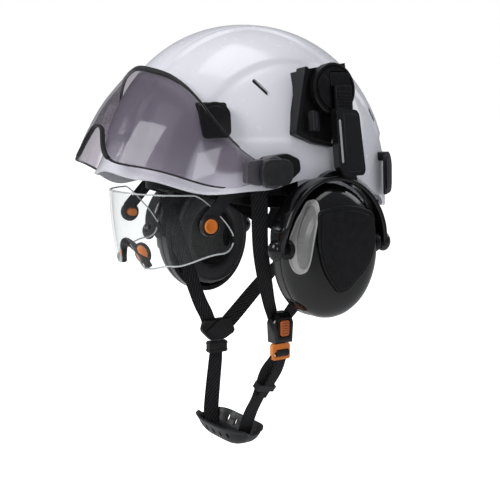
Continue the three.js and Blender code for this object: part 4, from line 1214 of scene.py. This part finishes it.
def build_cups():
    depth, wall = CUP["depth"], CUP["wall"]
    share = CUP["height"] / CUP["half"]
    inner = CUP["half"] - wall
    profile = [(0, depth - 3.2), (inner * 0.7, depth - 4.2), (inner * 0.92, depth - 11), (inner, 14),
               (inner, 0.6), (inner + 0.6, 0), (46.4, 0), (47, 0.6), (47, 9.4), (46.3, 10.2), (46.3, 11.6),
               (47, 12.4), (47, 15), (46.4, 19), (45.2, 23), (43, 27.2), (40, 30.4), (36, 32.6), (31, 33.8),
               (18, 34.6), (0, depth - 0.2)]
    centre = (CUP["x"], CUP["y"], CUP["z"])
    cup = turned("cup_dish", profile, centre, (1.0, share), 128)
    pair(cup, "cup_dish", "muff_cup_{}", "gloss_black", ["ear_cup_{}"], DROP)
    flange = [(43.5, -1.2), (46.6, -1.2), (47.2, -0.6), (47.2, 1.4), (46.6, 2.0), (43.5, 2.0)]
    ring = turned("cup_flange", flange, centre, (1.0, share), 128, closed=True)
    pair(ring, "cup_flange", "muff_cup_{}", "satin_black", drop=DROP)
    shield = [(-26, 37, 4), (-12, 40.2, 8), (3, 41, 8), (18, 38.5, 8), (32, 33.5, 5), (35, 5, 14),
              (27, -14, 14), (5, -32.5, 6), (-4, -34, 5), (-20, -15, 12), (-27.5, 12, 12)]
    at = Vector((CUP["y"], CUP["z"]))
    outline = rounded(shield, 6)
    front = CUP["x"] + depth
    pair(plate("cup_shield", [p + at for p in outline], front - 1.2, front + 1.9, 0.9), "cup_shield",
         "muff_cup_{}", "satin_black", ["cup_plate_{}"], DROP)
    inset = [p * 0.9 + at for p in outline]
    face = plate("shield_face", inset, front + 1.5, front + 2.6, 0.45)
    pair(face, "shield_face", "muff_cup_{}", "satin_black", drop=DROP)
    build_cup_trim()


def cup_surface_x(y, z, offset=0.0):
    """How far out the cup's outside is, at a place on its face."""
    share = math.hypot((y - CUP["y"]) / CUP["half"], (z - CUP["z"]) / CUP["height"])
    steps = [(0, 34.8), (0.38, 34.6), (0.66, 33.8), (0.77, 32.6), (0.85, 30.4), (0.915, 27.2), (0.962, 23),
             (0.987, 19), (1.0, 15)]
    for (a, low), (b, high) in zip(steps, steps[1:]):
        if share <= b:
            return CUP["x"] + lerp(low, high, (share - a) / (b - a)) + offset
    return CUP["x"] + 12 + offset


def cup_patch(name, outline, low, high):
    return patch(name, outline, cup_surface_x, low, high, 0.4, 2, 8)


def build_cup_trim():
    """A grey panel at the front of the cup, a broad U with a raised rim. The rim and the border round the
    face are painted paler: a painted highlight.
    """
    corners = [(-9, -5), (-15, -7), (-24.3, -20), (-30.2, -34), (-32, -46), (-31.5, -58, 8), (-28, -65.5, 7),
               (-22.5, -64, 7), (-19.5, -55.5), (-17, -41.5), (-13.8, -27.7), (-9.5, -14)]
    outline = rounded(corners, 5)
    middle = sum(outline, Vector((0, 0))) / len(outline)
    pair(cup_patch("cup_trim", outline, -0.5, 1.3), "cup_trim", "muff_cup_{}", "trim_grey", drop=DROP)
    inner = [middle + Vector(((p - middle).x * 0.72, (p - middle).y * 0.88)) for p in outline]
    pair(cup_patch("cup_trim_face", inner, 0.8, 1.9), "cup_trim_face", "muff_cup_{}", "trim_grey", drop=DROP,
         material="dark_trim")
    # The rim tube and the border round the face are drawn in the pale grey: a painted highlight.
    rim = [Vector((cup_surface_x(p.x, p.y) + 1.3, p.x, p.y)) for p in outline[::3]]
    pair(tube("cup_trim_rim", rim, 0.8, 8, closed=True), "cup_trim_rim", "muff_cup_{}", "trim_grey",
         drop=DROP)


# ---------------------------------------------------------------- harness


def build_straps():
    for name, stops in UPPER_STRAPS.items():
        strap = webbing(name + "_web", stops)
        if name.endswith("right"):
            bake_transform(strap)
        settle(strap, None if name.endswith("right") else "helmet", "webbing", [name])
    for name, stops in LOWER_STRAPS.items():
        settle(webbing(name + "_web", stops), "chin_strap", "webbing", [name])
    settle(webbing("strap_tail", TAIL["stops"], TAIL["width"]), "chin_strap", "webbing")
    keeper = cad_copy("strap_keeper", "keeper_body", 0)
    low, high = (Vector(c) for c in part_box("strap_keeper"))
    middle = (low + high) / 2
    along = Vector(KEEPER["along"]).normalized()
    for vertex in keeper.data.vertices:
        vertex.co -= along * (vertex.co - middle).dot(along) * KEEPER["short"]
    settle(bevel(keeper, 0.5), "keeper", "satin_black", ["strap_keeper"])
    build_divider()
    build_buckle()


def build_divider():
    y, z, hinge, x = DIVIDER["y"], DIVIDER["z"], DIVIDER["hinge"], DIVIDER["x"]
    body = rounded([(y - 15, hinge - 2.5), (y + 15, hinge - 2.5), (y + 20, z - 1), (y + 18, z - 4),
                    (y + 8, z - 9), (y - 8, z - 9), (y - 17, z), (y - 18, z + 3)], 1.5)
    made = plate("divider_body", body, x - 3.6, x + 3.6, 1.4)
    settle(made, "chin_strap", "satin_black", ["strap_divider"])
    facet = rounded([(y - 14, z + 1), (y - 1, hinge - 4), (y + 1, hinge - 4), (y + 16, z - 2),
                     (y + 2, z - 8), (y - 2, z - 8)], 1.0)
    settle(plate("divider_facet", facet, x - 4.9, x + 4.9, 2.2), "chin_strap", "satin_black")
    settle(plate("divider_collar", box_outline(y, z - 16, 20.6, 12, 1.8), x - 3.9, x + 3.9, 1.0),
           "chin_strap", "satin_black")
    for i, level in enumerate((z - 12.5, z - 19.5)):
        settle(plate(f"divider_rim_{i}", box_outline(y, level, 21.2, 1.6, 0.5), x - 4.2, x + 4.2, 0.4),
               "chin_strap", "satin_black")


def build_buckle():
    x, y, z = SOCKET["x"], SOCKET["y"], SOCKET["z"]
    socket = cad_copy("buckle_socket", "socket_body", 0)
    chamfered = [(y - 10.4, z - 14), (y + 10.4, z - 14), (y + 10.4, z + 3), (y + 7, z + 14), (y - 7, z + 14),
                 (y - 10.4, z + 3)]
    wedge = plate("wedge", [Vector(p) for p in chamfered], x - 7.2, x + 7.2, 0)
    for vertex in wedge.data.vertices:
        top = smooth(vertex.co.z / MM, z + 2, z + 14)
        vertex.co.x -= 2.6 * MM * top if vertex.co.x > x * MM else 0.0
    cut_with(socket, [wedge], "INTERSECT")
    settle(bevel(socket, 0.8), "helmet", "gloss_black", ["buckle_socket"])
    settle(cad_copy("release_button", "release_button_body", 0.3), "buckle_button", "orange",
           ["release_button"], "burnt_orange")
    for i in range(6):
        low = z - 5.6 + i * 2.2
        rib = plate(f"button_rib_{i}", box_outline(y, low + 0.5, 7.6, 1, 0.4), x + 7.9, x + 8.9, 0.3)
        settle(rib, "buckle_button", "orange", material="burnt_orange")
    settle(plate("socket_rim", box_outline(y, z - 0.3, 14, 19.8, 3), x + 5.4, x + 7.3, 0.4,
                 [box_outline(y, z, 10.8, 15.6, 2.5)]), "helmet", "satin_black")
    put("buckle_tongue", "chin_strap", "orange", 0.5)
    bar = turned("tongue_roll", [(0, -6.4), (2.6, -6.4), (3.2, -5.8), (3.2, 5.8), (2.6, 6.4), (0, 6.4)],
                 (x + 1.6, y + 1, SOCKET["low"] - 9.5), axis="y", steps=32)
    settle(bar, "chin_strap", "soft_rubber")


def build_chin_cup():
    """A shallow trough with turned-out lips, pierced by slots."""
    def trough(u, v):
        along, across = 2 * u - 1, 2 * v - 1
        floor = lerp(CHIN["bottom"], CHIN["ends"], along ** 4)
        width = CHIN["half"] * (1 - 0.55 * along ** 4)
        rise = CHIN["rise"] * abs(across) ** 3.4 * (1 - 0.8 * abs(along) ** 5)
        lip = 1.2 * smooth(abs(across), 0.9, 1.0)
        return Vector((CHIN["length"] * along, CHIN["y"] + (width + lip) * across, floor + rise))

    cup = grid("chin_trough", trough, 90, 44, angle=60)
    face_out(cup)
    thicken(cup, CHIN["wall"], 0.0)
    bake(cup)
    cutters = []
    for side in (-1, 1):
        for x in (-24, -12, 0, 12, 24):
            hole = plate("hole", box_outline(0, 0, 3.2, 5.6, 1.5), -9, 9, 0)
            place = Vector((x, CHIN["y"] + side * 17, CHIN["hole"] + 2 * (x / 24) ** 2))
            cutters.append(move(hole, Matrix.Translation(place * MM) @ Matrix.Rotation(math.pi / 2, 4, "Z")))
    cut_with(cup, cutters)
    settle(bevel(cup, 0.6, 2, 45), "chin_strap", "dark_grey", ["chin_cup"])


# ---------------------------------------------------------------- studio


def build_studio():
    floor = bpy.data.meshes.new("floor")
    size, level = FLOOR["half"], CAD_BOX[0][2] - FLOOR["below"]
    corners = [(x * size, y * size, level) for x, y in ((-1, -1), (1, -1), (1, 1), (-1, 1))]
    floor.from_pydata(corners, [], [(0, 1, 2, 3)])
    ground = bpy.data.objects.new("floor", floor)
    SCENE.collection.objects.link(ground)
    n = Nodes("floor_paper")
    grit = n.noise(30.0, 3.0)
    base = n.mix(n.spread(grit, 0.0, 1.0), (0.93, 0.93, 0.93, 1), (0.96, 0.96, 0.96, 1))
    floor.materials.append(n.surface(n.add("BsdfPrincipled", Base_Color=base, Roughness=0.9,
                                           Emission_Color=WHITE,
                                           Emission_Strength=n.add("LightPath"),
                                           Normal=n.bump(grit, 0.02, 0.001))))
    world = bpy.data.worlds.new("studio")
    world.use_nodes = True
    tree = world.node_tree
    background = tree.nodes["Background"]
    path = tree.nodes.new("ShaderNodeLightPath")
    shade_mix = tree.nodes.new("ShaderNodeMix")
    shade_mix.data_type = "RGBA"
    shade_mix.inputs[6].default_value = ROOM_GREY
    shade_mix.inputs[7].default_value = WHITE
    tree.links.new(path.outputs["Is Camera Ray"], shade_mix.inputs[0])
    tree.links.new(shade_mix.outputs[2], background.inputs["Color"])
    SCENE.world = world
    for name, place, size, power in LIGHTS:
        lamp = bpy.data.lights.new(name, "AREA")
        lamp.size = size
        lamp.energy = power
        made = bpy.data.objects.new(name, lamp)
        made.location = place
        made.rotation_euler = (Vector((0, 0, 0)) - Vector(place)).to_track_quat("-Z", "Y").to_euler()
        SCENE.collection.objects.link(made)
    SCENE.view_settings.view_transform = "Standard"


def build_camera():
    azimuth, elevation = math.radians(CAMERA["azimuth"]), math.radians(CAMERA["elevation"])
    target = Vector(CAMERA["target"])
    data = bpy.data.cameras.new("camera")
    data.lens = CAMERA["lens"]
    data.sensor_width = CAMERA["sensor"]
    camera = bpy.data.objects.new("camera", data)
    out = Vector((math.sin(azimuth) * math.cos(elevation), -math.cos(azimuth) * math.cos(elevation),
                  math.sin(elevation)))
    camera.location = target + CAMERA["distance"] * out
    camera.rotation_euler = (target - camera.location).to_track_quat("-Z", "Y").to_euler()
    SCENE.collection.objects.link(camera)
    SCENE.camera = camera


build_shell()
build_liner()
build_clips()
build_visor()
build_hubs()
build_eye_shield()
build_bands()
build_pads()
build_arms()
build_yoke()
build_cups()
build_straps()
build_chin_cup()
build_studio()
build_camera()
